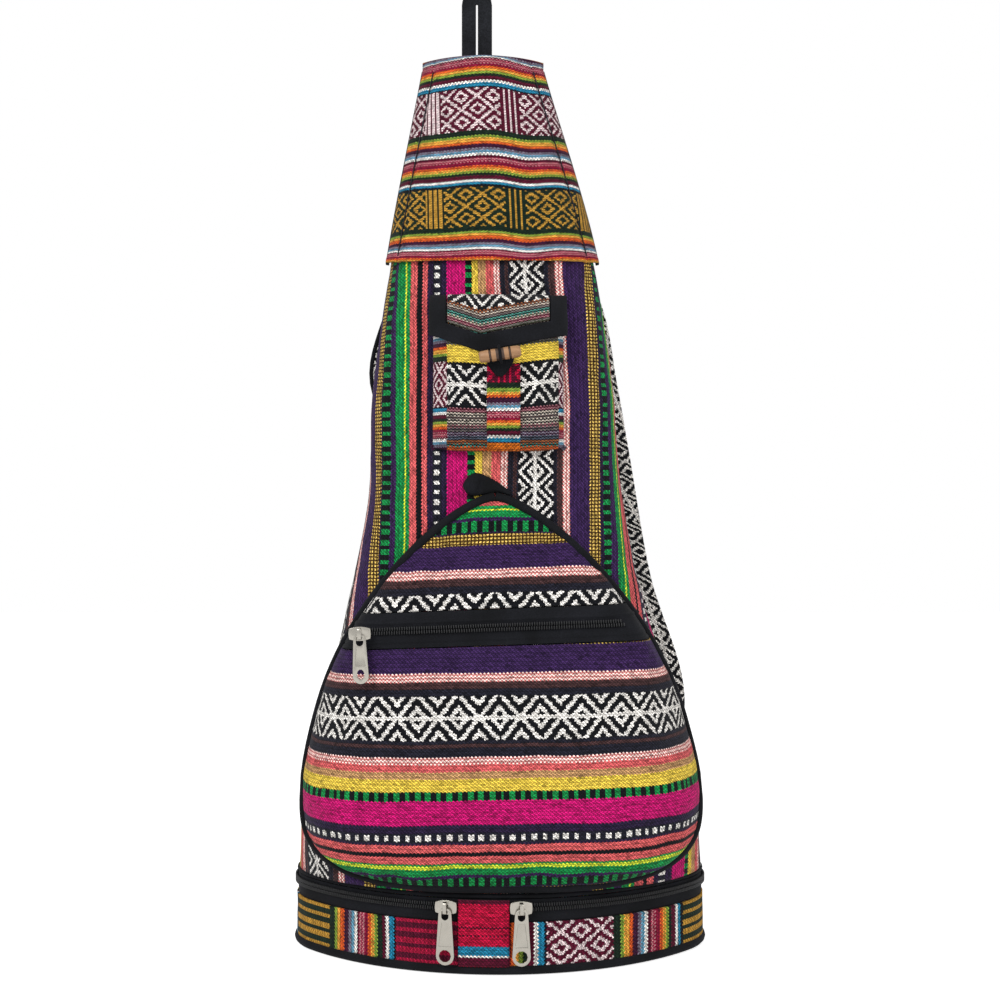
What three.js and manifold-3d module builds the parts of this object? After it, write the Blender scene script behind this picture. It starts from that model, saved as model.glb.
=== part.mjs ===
// Sling backpack in striped woven cotton: a tapered body on a zipped oval base, with a teardrop
// front pocket, a toggle pouch, a hood over the top, a hanging loop and one shoulder strap.
// Millimetres, +Z up, front towards -Y, origin at the centre of the base's underside.
import * as THREE from 'three';
import { mergeVertices } from 'three/addons/utils/BufferGeometryUtils.js';
import Module from 'manifold-3d';

const wasm = await Module();
wasm.setup();

// Cloth, trim and clearances
const GAP = 0.3;
const CLOTH = 2;
const TAPE_T = 1.2;
const CHAIN_WIDTH = 6.6;
const CHAIN_T = 1.8;

// Oval base: two long arcs and two end arcs
const BASE_WIDTH = 266;
const BASE_DEPTH = 176;
const BASE_END_R = 50;
const BASE_PANEL_T = 3;
const BASE_PIPING_R = 4.2;
const BAND_HEIGHT = 22.5;
const BAND_INSET = 1.5;
const BASE_TAPE_HEIGHT = 13.5;
const CHAIN_MARGIN = 1;
const BASE_TAPE_INSET = 2.5;
const SEAM_PIPING_R = 1.5;
const BACK_STOP = 0.02;
const PIPING_STOP = 0.005;
const SEAM_GAP = 0.06;

// Tapered body: half width, lean of the centre line, depth to front and back, squareness of section
const BODY_TOP = 562;
const SIDE_SEAM = THREE.MathUtils.degToRad(100);
const FOOT_INSET = 3;
const BODY_ROWS = 12;
const BODY_COLUMNS = { front: 28, back: 20 };
const BACK_SEAM_ROWS = [4, 8];
const WIDE = { z: 102, half: 125, lean: 0, front: 72, back: 80, square: 3.2 };
const BELLY = { z: 160, half: 111, lean: -0.5, front: 66, back: 71, square: 3.4 };
const WAIST = { z: 219, half: 95, lean: -2.5, front: 60, back: 62, square: 3.4 };
const CHEST = { z: 284, half: 82, lean: -3, front: 54, back: 54, square: 3.4 };
const POUCH_LEVEL = { z: 349, half: 78, lean: -4.5, front: 48, back: 46, square: 3.2 };
const HEM_LEVEL = { z: 439, half: 66, lean: -5, front: 40, back: 34, square: 2.3 };
const CROWN = { z: BODY_TOP, half: 37, lean: -11, front: 26, back: 14, square: 1.7 };

// Hood, hanging loop and strap
const HOOD_HEM_Z = 437;
const HOOD_BACK_Z = 505;
const HOOD_FOLD = 3;
const HOOD_WRAP = THREE.MathUtils.degToRad(80);
const HOOD_BINDING_WRAP = THREE.MathUtils.degToRad(12);
const HOOD_ROWS = { front: 14, fold: 4, back: 3 };
const LOOP_X = -15;
const LOOP_LEG = 9.2;
const LOOP_SLIT = 1.2;
const LOOP_LENGTH = 47;
const LOOP_T = 2.6;
const STRAP_T = 7;
const STRAP_BOW = 36;
const STRAP_BOW_CURVE = 0.8;
const STRAP_FOOT = { z: 78, left: 52, right: 108 };
const STRAP_LOW = { z: 150, left: 56, right: 127 };
const STRAP_WAIST = { z: 230, left: 16, right: 106.5 };
const STRAP_CHEST = { z: 312, left: -60, right: 92 };
const STRAP_WIDE = { z: 364, left: -88.5, right: 81.5 };
const STRAP_NECK = { z: 419, left: -74, right: 68 };
const STRAP_HEAD = { z: 498, left: -40, right: 20 };

// Teardrop front pocket
const POCKET_HALF = 121.5;
const POCKET_CENTRE = 1;
const POCKET_APEX_X = -3;
const POCKET_APEX_Z = 286;
const POCKET_BOTTOM_Z = 51.4;
const POCKET_TAPER = 1.7;
const POCKET_ROUND = 0.7;
const POCKET_CORNER = 3.4;
const POCKET_PIPING_R = 2.6;
const POCKET_BULGE = 97;
const POCKET_ZIP_DEPTH = 72;
const POCKET_ZIP_Z = 206.3;
const POCKET_ZIP_TILT = THREE.MathUtils.degToRad(2);
const POCKET_ZIP_BAND = 23;
const POCKET_ZIP_FROM = -80;
const POCKET_ZIP_TO = 77;
const POCKET_SLIDER_X = -84.6;
const BULGE_EASE = { rise: 30, depth: 6 };
const BELOW_ZIP = { drop: 36, depth: 4 };
const ABOVE_ZIP = { rise: 44, depth: 4 };
const POCKET_SECTION = { plain: 4, atZip: 16, reach: 22, footCorner: 12, footRound: 3 };
const POCKET_LAST_RISE = { piping: 0.99, panel: 0.988 };
const LOWER_SIDE_SHARE = 0.55;
const CORNER_TAB = { width: 12, length: 27, thick: 3.4, x: -11, z: 300.5, turn: 0.42 };

// Zip sliders and pull tabs
const SLIDER = { length: 12.6, height: 8.6, thick: 2.2, neck: 6.2, nose: 0.4 };
const BAIL = { width: 2.2, leg: 1.4, opening: 4.4, rise: 2.4, bar: 1.3 };
const TAB_T = 1.6;
const TAB_RIM = 1.6;
const TAB_EYE = { width: 4.4, height: 5.6 };
const TAB_RECESS = 0.35;
const BASE_TAB = { length: 34, top: 8, bottom: 11, hole: 4, holeStretch: 1 };
const POCKET_TAB = { length: 30, top: 7.6, bottom: 9.6, hole: 2.6, holeStretch: 1.35 };
const LEFT_SLIDER_X = -32;
const RIGHT_SLIDER_X = 12.5;
const BRIDGE_T = 1.2;

// Toggle pouch
const POUCH = { x: -1, half: 40.5, z: 314, height: 84, depth: 16, sideSquare: 5, footSquare: 7 };
const FLAP = { half: 42.7, top: 412, fold: 14, corner: 385.5, tipX: -12, tip: 374.5 };
const FLAP_BINDING = 12;
const FLAP_CURL = 0.45;
const FLAP_SQUARE = 6;
const STRIP = { x: 2.2, half: 10.2, bottom: 324, top: 367, thick: 1.5 };
const TOGGLE = { length: 25.5, r: 3.75, waist: 3.1, z: 372, tilt: 0.157 };
const RING = { x: 6.05, width: 1.4, floor: 0.64, depth: 0.5, from: 2.55 };
const TOGGLE_CORD_R = 0.9;
const TOGGLE_LOOP = { half: 9, top: 373.6, tip: 359, thick: 2 };

// Levels that follow from the sizes above
const BAND_Z = 2 * BASE_PIPING_R + 2 * GAP;
const BASE_TAPE_Z = BAND_Z + BAND_HEIGHT + GAP;
const BASE_CHAIN_Z = BASE_TAPE_Z + BASE_TAPE_HEIGHT - CHAIN_WIDTH / 2 - CHAIN_MARGIN;
const SEAM_Z = BASE_TAPE_Z + BASE_TAPE_HEIGHT + GAP + SEAM_PIPING_R;
const BODY_Z = SEAM_Z + SEAM_PIPING_R + GAP;
const CHAIN_OUT = GAP + CHAIN_T;
const HOOD_OUT = CLOTH + 3 * GAP;
const HOOD_TOP = BODY_TOP + HOOD_OUT;
const BASE_SLIDER_INSET = BASE_TAPE_INSET - CHAIN_OUT - GAP;

// Centre, radius and span of the base's long arcs
const ARC_REACH = BASE_WIDTH / 2 - BASE_END_R;
const ARC_DROP = BASE_DEPTH / 2 - BASE_END_R;
const ARC_Y = (ARC_REACH ** 2 - ARC_DROP ** 2) / (2 * ARC_DROP);
const ARC_R = BASE_DEPTH / 2 + ARC_Y;
const ARC_SPAN = Math.atan2(ARC_REACH, ARC_Y);
const OVAL_POINTS = 60;
const OVAL_STEPS = 48;
const ovalTurn = (i) => (2 * i / OVAL_POINTS - 1) * Math.PI;

const STRIPED = { color: 0x4a2a6e, roughness: 0.95, metalness: 0 };
const HOOD_CLOTH = { color: 0x8a2038, roughness: 0.95, metalness: 0 };
const BLACK_CLOTH = { color: 0x101114, roughness: 0.9, metalness: 0 };
const STRAP_CLOTH = { color: 0x6a6a6a, roughness: 0.95, metalness: 0 };
const RED_CLOTH = { color: 0xb01030, roughness: 0.95, metalness: 0 };
const NICKEL = { color: 0xc8c4bc, roughness: 0.3, metalness: 1 };
const WOOD = { color: 0x9a7050, roughness: 0.6, metalness: 0 };

const bag = new THREE.Group();

function add(name, geometry, finish, parent = bag) {
  const mesh = new THREE.Mesh(geometry, new THREE.MeshStandardMaterial(finish));
  mesh.name = name;
  parent.add(mesh);
  return mesh;
}

// Sheet of cloth: face(u, v) is its outer side, u to the right and v up as seen from outside,
// and its inner side lies `thick` behind it. A hoop joins its last column to its first.
function sheet(face, columns, rows, thick, hoop = false) {
  const across = hoop ? columns : columns + 1;
  const at = (i, j) => j * across + (hoop ? (i + across) % across : THREE.MathUtils.clamp(i, 0, columns));
  const outer = [];
  for (let j = 0; j <= rows; j++) {
    for (let i = 0; i < across; i++) outer.push(face(i / columns, j / rows));
  }
  const inner = outer.map((point, k) => {
    const i = k % across;
    const j = Math.floor(k / across);
    const right = outer[at(i + 1, j)].clone().sub(outer[at(i - 1, j)]);
    const up = outer[at(i, Math.min(j + 1, rows))].clone().sub(outer[at(i, Math.max(j - 1, 0))]);
    return point.clone().addScaledVector(right.cross(up).normalize(), -thick);
  });
  const back = outer.length;
  const index = [];
  for (let j = 0; j < rows; j++) {
    for (let i = 0; i < columns; i++) {
      const [a, b, c, d] = [at(i, j), at(i + 1, j), at(i + 1, j + 1), at(i, j + 1)];
      index.push(a, b, c, a, c, d);
      index.push(back + a, back + c, back + b, back + a, back + d, back + c);
    }
  }
  const edge = (a, b) => index.push(b, a, back + a, b, back + a, back + b);
  for (let i = 0; i < columns; i++) {
    edge(at(i, 0), at(i + 1, 0));
    edge(at(i + 1, rows), at(i, rows));
  }
  for (let j = 0; j < rows && !hoop; j++) {
    edge(at(columns, j), at(columns, j + 1));
    edge(at(0, j + 1), at(0, j));
  }
  const geometry = new THREE.BufferGeometry().setFromPoints([...outer, ...inner]);
  geometry.setIndex(index);
  return geometry;
}

// Round cord of piping along points, with square-cut ends
function piping(points, radius, steps, sides = 6) {
  const section = new THREE.Shape().absarc(0, 0, radius, 0, 2 * Math.PI);
  const path = new THREE.CatmullRomCurve3(points);
  return new THREE.ExtrudeGeometry(section, { steps, curveSegments: sides / 2, extrudePath: path });
}

function toSolid(geometry) {
  const plain = geometry.clone();
  plain.deleteAttribute('normal');
  plain.deleteAttribute('uv');
  const merged = mergeVertices(plain, 1e-4);
  const vertProperties = new Float32Array(merged.attributes.position.array);
  const triVerts = new Uint32Array(merged.index.array);
  return new wasm.Manifold(new wasm.Mesh({ numProp: 3, vertProperties, triVerts }));
}

function toGeometry(solid) {
  const mesh = solid.getMesh();
  const geometry = new THREE.BufferGeometry();
  geometry.setAttribute('position', new THREE.BufferAttribute(mesh.vertProperties, 3));
  geometry.setIndex(new THREE.BufferAttribute(mesh.triVerts, 1));
  return geometry;
}

const cut = (geometry, tool) => toGeometry(toSolid(geometry).subtract(toSolid(tool)));
const join = (first, second) => toGeometry(toSolid(first).add(toSolid(second)));

// Extrusion of an outline drawn in the XZ plane, from its back face at y = 0 towards the front
function frontPlate(shape, thick) {
  const options = { depth: thick, bevelEnabled: false, curveSegments: 5 };
  return new THREE.ExtrudeGeometry(shape, options).rotateX(Math.PI / 2);
}

// Point of the base's oval at an angle from the front, moved in from the outermost line
function oval(angle, inset, z) {
  const turn = Math.abs(angle);
  const onEnd = turn > ARC_SPAN && turn < Math.PI - ARC_SPAN;
  const centreX = onEnd ? Math.sign(angle) * ARC_REACH : 0;
  const centreY = onEnd ? 0 : Math.sign(Math.cos(angle)) * ARC_Y;
  const radius = (onEnd ? BASE_END_R : ARC_R) - inset;
  return new THREE.Vector3(centreX + radius * Math.sin(angle), centreY - radius * Math.cos(angle), z);
}

function ovalHoop(inset, z, height, thick) {
  const face = (u, v) => oval((2 * u - 1) * Math.PI, inset, z + v * height);
  return sheet(face, OVAL_STEPS, 1, thick, true);
}

function ovalPiping(inset, z, radius) {
  const points = [];
  const share = 1 - PIPING_STOP / Math.PI;
  for (let i = 0; i <= OVAL_POINTS; i++) points.push(oval(ovalTurn(i) * share, inset, z));
  return piping(points, radius, OVAL_STEPS);
}

function buildBase() {
  const panelInset = 2 * BASE_PIPING_R + GAP;
  const outline = [];
  for (let i = 0; i < OVAL_POINTS; i++) {
    const point = oval(ovalTurn(i), panelInset, 0);
    outline.push(new THREE.Vector2(point.x, point.y));
  }
  const options = { depth: BASE_PANEL_T, bevelEnabled: false };
  const panel = new THREE.ExtrudeGeometry(new THREE.Shape(outline), options);
  add('base_panel', panel, BLACK_CLOTH);
  add('base_piping', ovalPiping(BASE_PIPING_R, BASE_PIPING_R + GAP, BASE_PIPING_R), BLACK_CLOTH);
  add('base_band', ovalHoop(BAND_INSET, BAND_Z, BAND_HEIGHT, CLOTH), HOOD_CLOTH);
  add('base_zip_tape', ovalHoop(BASE_TAPE_INSET, BASE_TAPE_Z, BASE_TAPE_HEIGHT, TAPE_T), BLACK_CLOTH);
  add('base_seam_piping', ovalPiping(FOOT_INSET + GAP, SEAM_Z, SEAM_PIPING_R), BLACK_CLOTH);
}

// Half of the base zip's chain, from beside the bridge round to the middle of the back
function baseChain(from, to) {
  const face = (u, v) => {
    const height = BASE_CHAIN_Z + (v - 0.5) * CHAIN_WIDTH;
    return oval(THREE.MathUtils.lerp(from, to, u), BASE_TAPE_INSET - CHAIN_OUT, height);
  };
  return sheet(face, 30, 1, CHAIN_T);
}

const slideAngle = (x) => Math.asin(x / ARC_R);

function buildBaseZip() {
  const clear = SLIDER.length / 2 + 2 * GAP;
  const bridgeFrom = slideAngle(LEFT_SLIDER_X + clear);
  const bridgeTo = slideAngle(RIGHT_SLIDER_X - clear);
  const backStop = Math.PI - BACK_STOP;
  const seat = slideAngle(2 * GAP);
  add('base_zip_chain_left', baseChain(-backStop, bridgeFrom - seat), BLACK_CLOTH);
  add('base_zip_chain_right', baseChain(bridgeTo + seat, backStop), BLACK_CLOTH);
  const bridge = (u, v) => {
    const z = THREE.MathUtils.lerp(BAND_Z, BASE_TAPE_Z + BASE_TAPE_HEIGHT, v);
    return oval(THREE.MathUtils.lerp(bridgeFrom, bridgeTo, u), BAND_INSET - GAP - BRIDGE_T, z);
  };
  add('base_zip_bridge', sheet(bridge, 8, 4, BRIDGE_T), RED_CLOTH);
  addSlider('base_slider_left', 'base_pull_tab_left', baseSliderSeat(LEFT_SLIDER_X), BASE_TAB);
  addSlider('base_slider_right', 'base_pull_tab_right', baseSliderSeat(RIGHT_SLIDER_X), BASE_TAB);
}

// Group whose axes are the zip's direction, inwards and up, at a slider of the base zip
function baseSliderSeat(x) {
  const turntable = new THREE.Group();
  turntable.position.set(0, ARC_Y, BASE_CHAIN_Z);
  turntable.rotation.z = slideAngle(x);
  const seat = new THREE.Group();
  seat.position.set(0, -(ARC_R - BASE_SLIDER_INSET), 0);
  turntable.add(seat);
  bag.add(turntable);
  return seat;
}

// Slider: a plate with pinched flanks, and an upright bail that the pull tab hangs in
function sliderGeometry() {
  const half = SLIDER.length / 2;
  const shoulder = SLIDER.height / 2;
  const neck = SLIDER.neck / 2;
  const flank = 2 * shoulder - neck;
  const nose = half + 2 * SLIDER.nose;
  const plate = new THREE.Shape();
  plate.moveTo(-half, -neck);
  plate.quadraticCurveTo(0, -flank, half, -neck);
  plate.quadraticCurveTo(nose, 0, half, neck);
  plate.quadraticCurveTo(0, flank, -half, neck);
  plate.quadraticCurveTo(-nose, 0, -half, -neck);
  const outerZ = BAIL.opening / 2 + BAIL.leg;
  const reach = BAIL.rise + BAIL.bar;
  const bail = new THREE.Shape();
  bail.moveTo(-GAP, -outerZ);
  bail.lineTo(reach - BAIL.bar, -outerZ);
  bail.quadraticCurveTo(reach, -outerZ, reach, -outerZ + BAIL.bar);
  bail.lineTo(reach, outerZ - BAIL.bar);
  bail.quadraticCurveTo(reach, outerZ, reach - BAIL.bar, outerZ);
  bail.lineTo(-GAP, outerZ);
  bail.lineTo(-GAP, outerZ - BAIL.leg);
  bail.lineTo(BAIL.rise, outerZ - BAIL.leg);
  bail.lineTo(BAIL.rise, -outerZ + BAIL.leg);
  bail.lineTo(-GAP, -outerZ + BAIL.leg);
  const options = { depth: BAIL.width, bevelEnabled: false, curveSegments: 3 };
  const arch = new THREE.ExtrudeGeometry(bail, options);
  arch.translate(0, 0, -BAIL.width / 2);
  arch.rotateX(Math.PI / 2);
  arch.rotateZ(-Math.PI / 2);
  arch.translate(0, -SLIDER.thick, 0);
  return join(frontPlate(plate, SLIDER.thick), arch);
}

// Pull tab: eye at the top round the bail's lower leg, shallow panel, round hole at the foot
function tabGeometry(tab) {
  const rimTop = TAB_RIM / 2;
  const eyeZ = -rimTop - TAB_EYE.height / 2;
  const top = tab.top / 2;
  const bottom = tab.bottom / 2;
  const foot = rimTop - tab.length;
  const outline = new THREE.Shape();
  outline.moveTo(-top, eyeZ);
  outline.quadraticCurveTo(-top, rimTop, 0, rimTop);
  outline.quadraticCurveTo(top, rimTop, top, eyeZ);
  outline.lineTo(bottom, foot + bottom);
  outline.absarc(0, foot + bottom, bottom, 0, -Math.PI, true);
  const eyeHalf = TAB_EYE.width / 2;
  const eyeTop = -rimTop;
  const eyeFoot = eyeTop - TAB_EYE.height;
  const round = eyeHalf - BAIL.width / 2 - GAP / 2;
  const eye = new THREE.Path();
  eye.moveTo(eyeHalf, eyeTop - round);
  eye.quadraticCurveTo(eyeHalf, eyeTop, eyeHalf - round, eyeTop);
  eye.lineTo(round - eyeHalf, eyeTop);
  eye.quadraticCurveTo(-eyeHalf, eyeTop, -eyeHalf, eyeTop - round);
  eye.absarc(0, eyeFoot + eyeHalf, eyeHalf, Math.PI, 2 * Math.PI, false);
  const holeZ = foot + bottom + (tab.holeStretch - 1) * tab.hole;
  const hole = new THREE.Path();
  hole.absellipse(0, holeZ, tab.hole - GAP, (tab.hole - GAP) * tab.holeStretch, 0, 2 * Math.PI);
  outline.holes.push(eye, hole);
  const panelTop = eyeZ - TAB_EYE.height / 2 - TAB_RIM;
  const panelFoot = holeZ + tab.hole * tab.holeStretch + TAB_RIM;
  const panel = new THREE.Shape();
  panel.moveTo(-top / 2, panelTop);
  panel.lineTo(top / 2, panelTop);
  panel.lineTo(bottom - TAB_RIM, panelFoot);
  panel.lineTo(TAB_RIM - bottom, panelFoot);
  const recess = frontPlate(panel, TAB_T).translate(0, TAB_RECESS - TAB_T, 0);
  return cut(frontPlate(outline, TAB_T), recess);
}

function addSlider(sliderName, tabName, seat, tab) {
  add(sliderName, sliderGeometry(), NICKEL, seat);
  const hung = add(tabName, tabGeometry(tab), NICKEL, seat);
  const rimZ = 2 * GAP - BAIL.opening / 2 + TAB_RIM / 2;
  hung.position.set(0, -SLIDER.thick - (BAIL.rise - TAB_T) / 2, rimZ);
}

// Value of one size of the body at any height
const FOOT = {
  z: BODY_Z,
  half: BASE_WIDTH / 2 - FOOT_INSET,
  lean: 0,
  front: BASE_DEPTH / 2 - FOOT_INSET,
  back: BASE_DEPTH / 2 - FOOT_INSET,
  square: 2.05,
};
const LEVELS = [FOOT, WIDE, BELLY, WAIST, CHEST, POUCH_LEVEL, HEM_LEVEL, CROWN];

function through(levels, size) {
  const heights = levels.map((level) => level.z);
  const values = levels.map((level) => level[size]);
  const curve = new THREE.CubicInterpolant(heights, values, 1);
  return (z) => curve.evaluate(z)[0];
}

const bodyHalf = through(LEVELS, 'half');
const bodyLean = through(LEVELS, 'lean');
const bodyFront = through(LEVELS, 'front');
const bodyBack = through(LEVELS, 'back');
const bodySquare = through(LEVELS, 'square');

const rounded = (value, square) => Math.sign(value) * Math.abs(value) ** (2 / square);

// Point on the body's outer side at an angle from the front, moved out by `out`
function bodyPoint(angle, z, out = 0) {
  const depth = (Math.cos(angle) > 0 ? bodyFront(z) : bodyBack(z)) + out;
  const x = bodyLean(z) + (bodyHalf(z) + out) * rounded(Math.sin(angle), bodySquare(z));
  return new THREE.Vector3(x, -depth * rounded(Math.cos(angle), bodySquare(z)), z);
}

function frontShare(x, z) {
  const across = Math.min(Math.abs(x - bodyLean(z)) / bodyHalf(z), 1);
  return (1 - across ** bodySquare(z)) ** (1 / bodySquare(z));
}

const frontY = (x, z) => -bodyFront(z) * frontShare(x, z);
const backY = (x, z) => bodyBack(z) * frontShare(x, z);

// Outward direction of the body's front at a point on it
function frontNormal(point) {
  const field = (x, y, z) => {
    const square = bodySquare(z);
    return (Math.abs(x - bodyLean(z)) / bodyHalf(z)) ** square + (Math.abs(y) / bodyFront(z)) ** square;
  };
  const { x, y, z } = point;
  const step = GAP;
  const normal = new THREE.Vector3(
    field(x + step, y, z) - field(x - step, y, z),
    field(x, y + step, z) - field(x, y - step, z),
    field(x, y, z + step) - field(x, y, z - step),
  );
  return normal.normalize();
}

// Body: one striped panel round the front and sides, and a back sewn from three panels
function buildBody() {
  const climb = (v) => THREE.MathUtils.lerp(BODY_Z, BODY_TOP, v);
  const front = (u, v) => bodyPoint((2 * u - 1) * SIDE_SEAM, climb(v));
  add('body_front', sheet(front, BODY_COLUMNS.front, BODY_ROWS, CLOTH), STRIPED);
  const seams = BACK_SEAM_ROWS.map((row) => climb(row / BODY_ROWS));
  const names = ['back_lower_panel', 'back_panel', 'back_yoke'];
  const edges = [BODY_Z, ...seams.flatMap((z) => [z - GAP / 2, z + GAP / 2]), BODY_TOP];
  const rows = BODY_ROWS / names.length;
  names.forEach((name, k) => {
    const back = (u, v) => {
      const z = THREE.MathUtils.lerp(edges[2 * k], edges[2 * k + 1], v);
      const seam = SIDE_SEAM + SEAM_GAP * CROWN.back / bodyBack(z);
      return bodyPoint(THREE.MathUtils.lerp(seam, 2 * Math.PI - seam, u), z);
    };
    add(name, sheet(back, BODY_COLUMNS.back, rows, CLOTH), STRIPED);
  });
}

const HOOD_ROW_COUNT = HOOD_ROWS.front + HOOD_ROWS.fold + HOOD_ROWS.back;

// Hood: up the front, over the open top of the body and a short way down the back
function hoodPoint(angle, v) {
  const row = v * HOOD_ROW_COUNT;
  if (row < HOOD_ROWS.front) {
    const up = row / HOOD_ROWS.front;
    return bodyPoint(angle, THREE.MathUtils.lerp(HOOD_HEM_Z, HOOD_TOP, up), HOOD_OUT);
  }
  const past = (row - HOOD_ROWS.front) / HOOD_ROWS.fold;
  if (past > 1) {
    const down = (past - 1) * HOOD_ROWS.fold / HOOD_ROWS.back;
    return bodyPoint(Math.PI - angle, THREE.MathUtils.lerp(HOOD_TOP, HOOD_BACK_Z, down), HOOD_OUT);
  }
  const fold = Math.PI * past;
  const rise = HOOD_FOLD * Math.sin(fold);
  const edge = bodyPoint(fold < Math.PI / 2 ? angle : Math.PI - angle, HOOD_TOP, HOOD_OUT);
  return new THREE.Vector3(edge.x, edge.y * Math.abs(Math.cos(fold)), HOOD_TOP + rise);
}

function buildHood() {
  const hood = (u, v) => hoodPoint((2 * u - 1) * HOOD_WRAP, v);
  add('hood_panel', sheet(hood, 14, HOOD_ROW_COUNT, CLOTH), HOOD_CLOTH);
  for (const [side, sign] of [['left', -1], ['right', 1]]) {
    const inner = sign * (HOOD_WRAP + SEAM_GAP);
    const outer = sign * (HOOD_WRAP + HOOD_BINDING_WRAP);
    const [from, to] = sign < 0 ? [outer, inner] : [inner, outer];
    const strip = (u, v) => {
      const z = THREE.MathUtils.lerp(HOOD_HEM_Z, BODY_TOP, v);
      return bodyPoint(THREE.MathUtils.lerp(from, to, u), z, HOOD_OUT);
    };
    add(`hood_binding_${side}`, sheet(strip, 3, 10, CLOTH), BLACK_CLOTH);
  }
  const foot = HOOD_TOP + HOOD_FOLD + GAP;
  const outer = LOOP_LEG + LOOP_SLIT / 2;
  const shape = new THREE.Shape();
  shape.moveTo(-outer, 0);
  shape.lineTo(-LOOP_SLIT / 2, 0);
  shape.lineTo(-LOOP_SLIT / 2, LOOP_LENGTH - outer);
  shape.absarc(0, LOOP_LENGTH - outer, LOOP_SLIT / 2, Math.PI, 0, true);
  shape.lineTo(LOOP_SLIT / 2, 0);
  shape.lineTo(outer, 0);
  shape.lineTo(outer, LOOP_LENGTH - outer);
  shape.absarc(0, LOOP_LENGTH - outer, outer, 0, Math.PI, false);
  const loop = add('hanging_loop', frontPlate(shape, LOOP_T), BLACK_CLOTH);
  loop.position.set(LOOP_X, LOOP_T / 2, foot);
}

const STRAP_LEVELS = [
  STRAP_FOOT, STRAP_LOW, STRAP_WAIST, STRAP_CHEST, STRAP_WIDE, STRAP_NECK, STRAP_HEAD,
];
const strapLeft = through(STRAP_LEVELS, 'left');
const strapRight = through(STRAP_LEVELS, 'right');

// Strap: sewn to the back at both ends and bowed away from it between them. It leaves the top as wide
// as the body and narrows down to the right.
function buildStrap() {
  const strap = (u, v) => {
    const z = THREE.MathUtils.lerp(STRAP_FOOT.z, STRAP_HEAD.z, v);
    const free = Math.sin(Math.PI * v);
    const x = THREE.MathUtils.lerp(strapRight(z), strapLeft(z), u);
    const centre = (strapLeft(z) + strapRight(z)) / 2;
    const seat = THREE.MathUtils.lerp(backY(x, z), backY(Math.min(centre, bodyHalf(z) / 2), z), free);
    const bow = STRAP_BOW * free ** STRAP_BOW_CURVE;
    return new THREE.Vector3(x, seat + 2 * GAP + STRAP_T + bow, z);
  };
  add('shoulder_strap', sheet(strap, 8, 20, STRAP_T), STRAP_CLOTH);
}

// Front pocket outline: half width at a height above its widest level
function pocketHalf(z) {
  const rise = THREE.MathUtils.clamp((z - WIDE.z) / (POCKET_APEX_Z - WIDE.z), 0, 1);
  return POCKET_HALF * (1 - rise ** POCKET_TAPER) ** POCKET_ROUND;
}

function pocketCentre(z) {
  const rise = THREE.MathUtils.clamp((z - WIDE.z) / (POCKET_APEX_Z - WIDE.z), 0, 1);
  return THREE.MathUtils.lerp(POCKET_CENTRE, POCKET_APEX_X, rise);
}

// Centre of the pocket's piping, standing on the body's front
function onPiping(x, z) {
  const point = new THREE.Vector3(x, frontY(x, z), z);
  return point.addScaledVector(frontNormal(point), POCKET_PIPING_R + GAP);
}

const pocketSide = (side, z) => onPiping(pocketCentre(z) + side * pocketHalf(z), z);

// Lower edge of the pocket, from side to side as t goes from -1 to 1
const CORNER_STOP = 0.985;
const lowerAcross = (t) => rounded(Math.sin(t * CORNER_STOP * Math.PI / 2), POCKET_CORNER);

function pocketFoot(t) {
  const down = rounded(Math.cos(t * CORNER_STOP * Math.PI / 2), POCKET_CORNER);
  const z = WIDE.z - (WIDE.z - POCKET_BOTTOM_Z) * down;
  return onPiping(POCKET_CENTRE + POCKET_HALF * lowerAcross(t), z);
}

function pocketPiping(radius) {
  const points = [];
  const steps = 16;
  const last = (POCKET_APEX_Z - WIDE.z) * POCKET_LAST_RISE.piping;
  const sideZ = (k) => WIDE.z + last * Math.sin(Math.PI / 2 * k / steps);
  points.push(onPiping(POCKET_APEX_X - GAP, POCKET_APEX_Z));
  for (let k = steps; k > 0; k--) points.push(pocketSide(-1, sideZ(k)));
  for (let k = 0; k <= 2 * steps; k++) points.push(pocketFoot(k / steps - 1));
  for (let k = 1; k <= steps; k++) points.push(pocketSide(1, sideZ(k)));
  points.push(onPiping(POCKET_APEX_X + GAP, POCKET_APEX_Z));
  return piping(points, radius, 96);
}

const UPPER_MIDDLE_Z = POCKET_ZIP_Z + ABOVE_ZIP.rise;

// Depth of the pocket's face at its middle, bulged low down and flat at the zip
const POCKET_FACE = [
  { z: POCKET_BOTTOM_Z, depth: POCKET_BULGE },
  { z: WIDE.z, depth: POCKET_BULGE },
  { z: WIDE.z + BULGE_EASE.rise, depth: POCKET_BULGE - BULGE_EASE.depth },
  { z: POCKET_ZIP_Z - BELOW_ZIP.drop, depth: POCKET_ZIP_DEPTH + BELOW_ZIP.depth },
  { z: POCKET_ZIP_Z, depth: POCKET_ZIP_DEPTH },
  { z: UPPER_MIDDLE_Z, depth: bodyFront(UPPER_MIDDLE_Z) + CLOTH + ABOVE_ZIP.depth },
  { z: POCKET_APEX_Z, depth: bodyFront(POCKET_APEX_Z) + CLOTH + 2 * GAP },
];
const pocketDepth = through(POCKET_FACE, 'depth');

// Face of the pocket at a height, w across from -1 to 1, and skewed to follow the tilted zip
function pocketPoint(z, skew, w, out = 0) {
  const left = pocketSide(-1, z - skew);
  const right = pocketSide(1, z + skew);
  const point = left.lerp(right, (w + 1) / 2);
  const near = Math.exp(-(((point.z - POCKET_ZIP_Z) / POCKET_SECTION.reach) ** 2));
  const flatness = POCKET_SECTION.plain + POCKET_SECTION.atZip * near;
  const rise = Math.sqrt(Math.max(1 - Math.abs(w) ** flatness, 0));
  point.y -= (pocketDepth(point.z) + point.y) * rise + out;
  return point;
}

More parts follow.
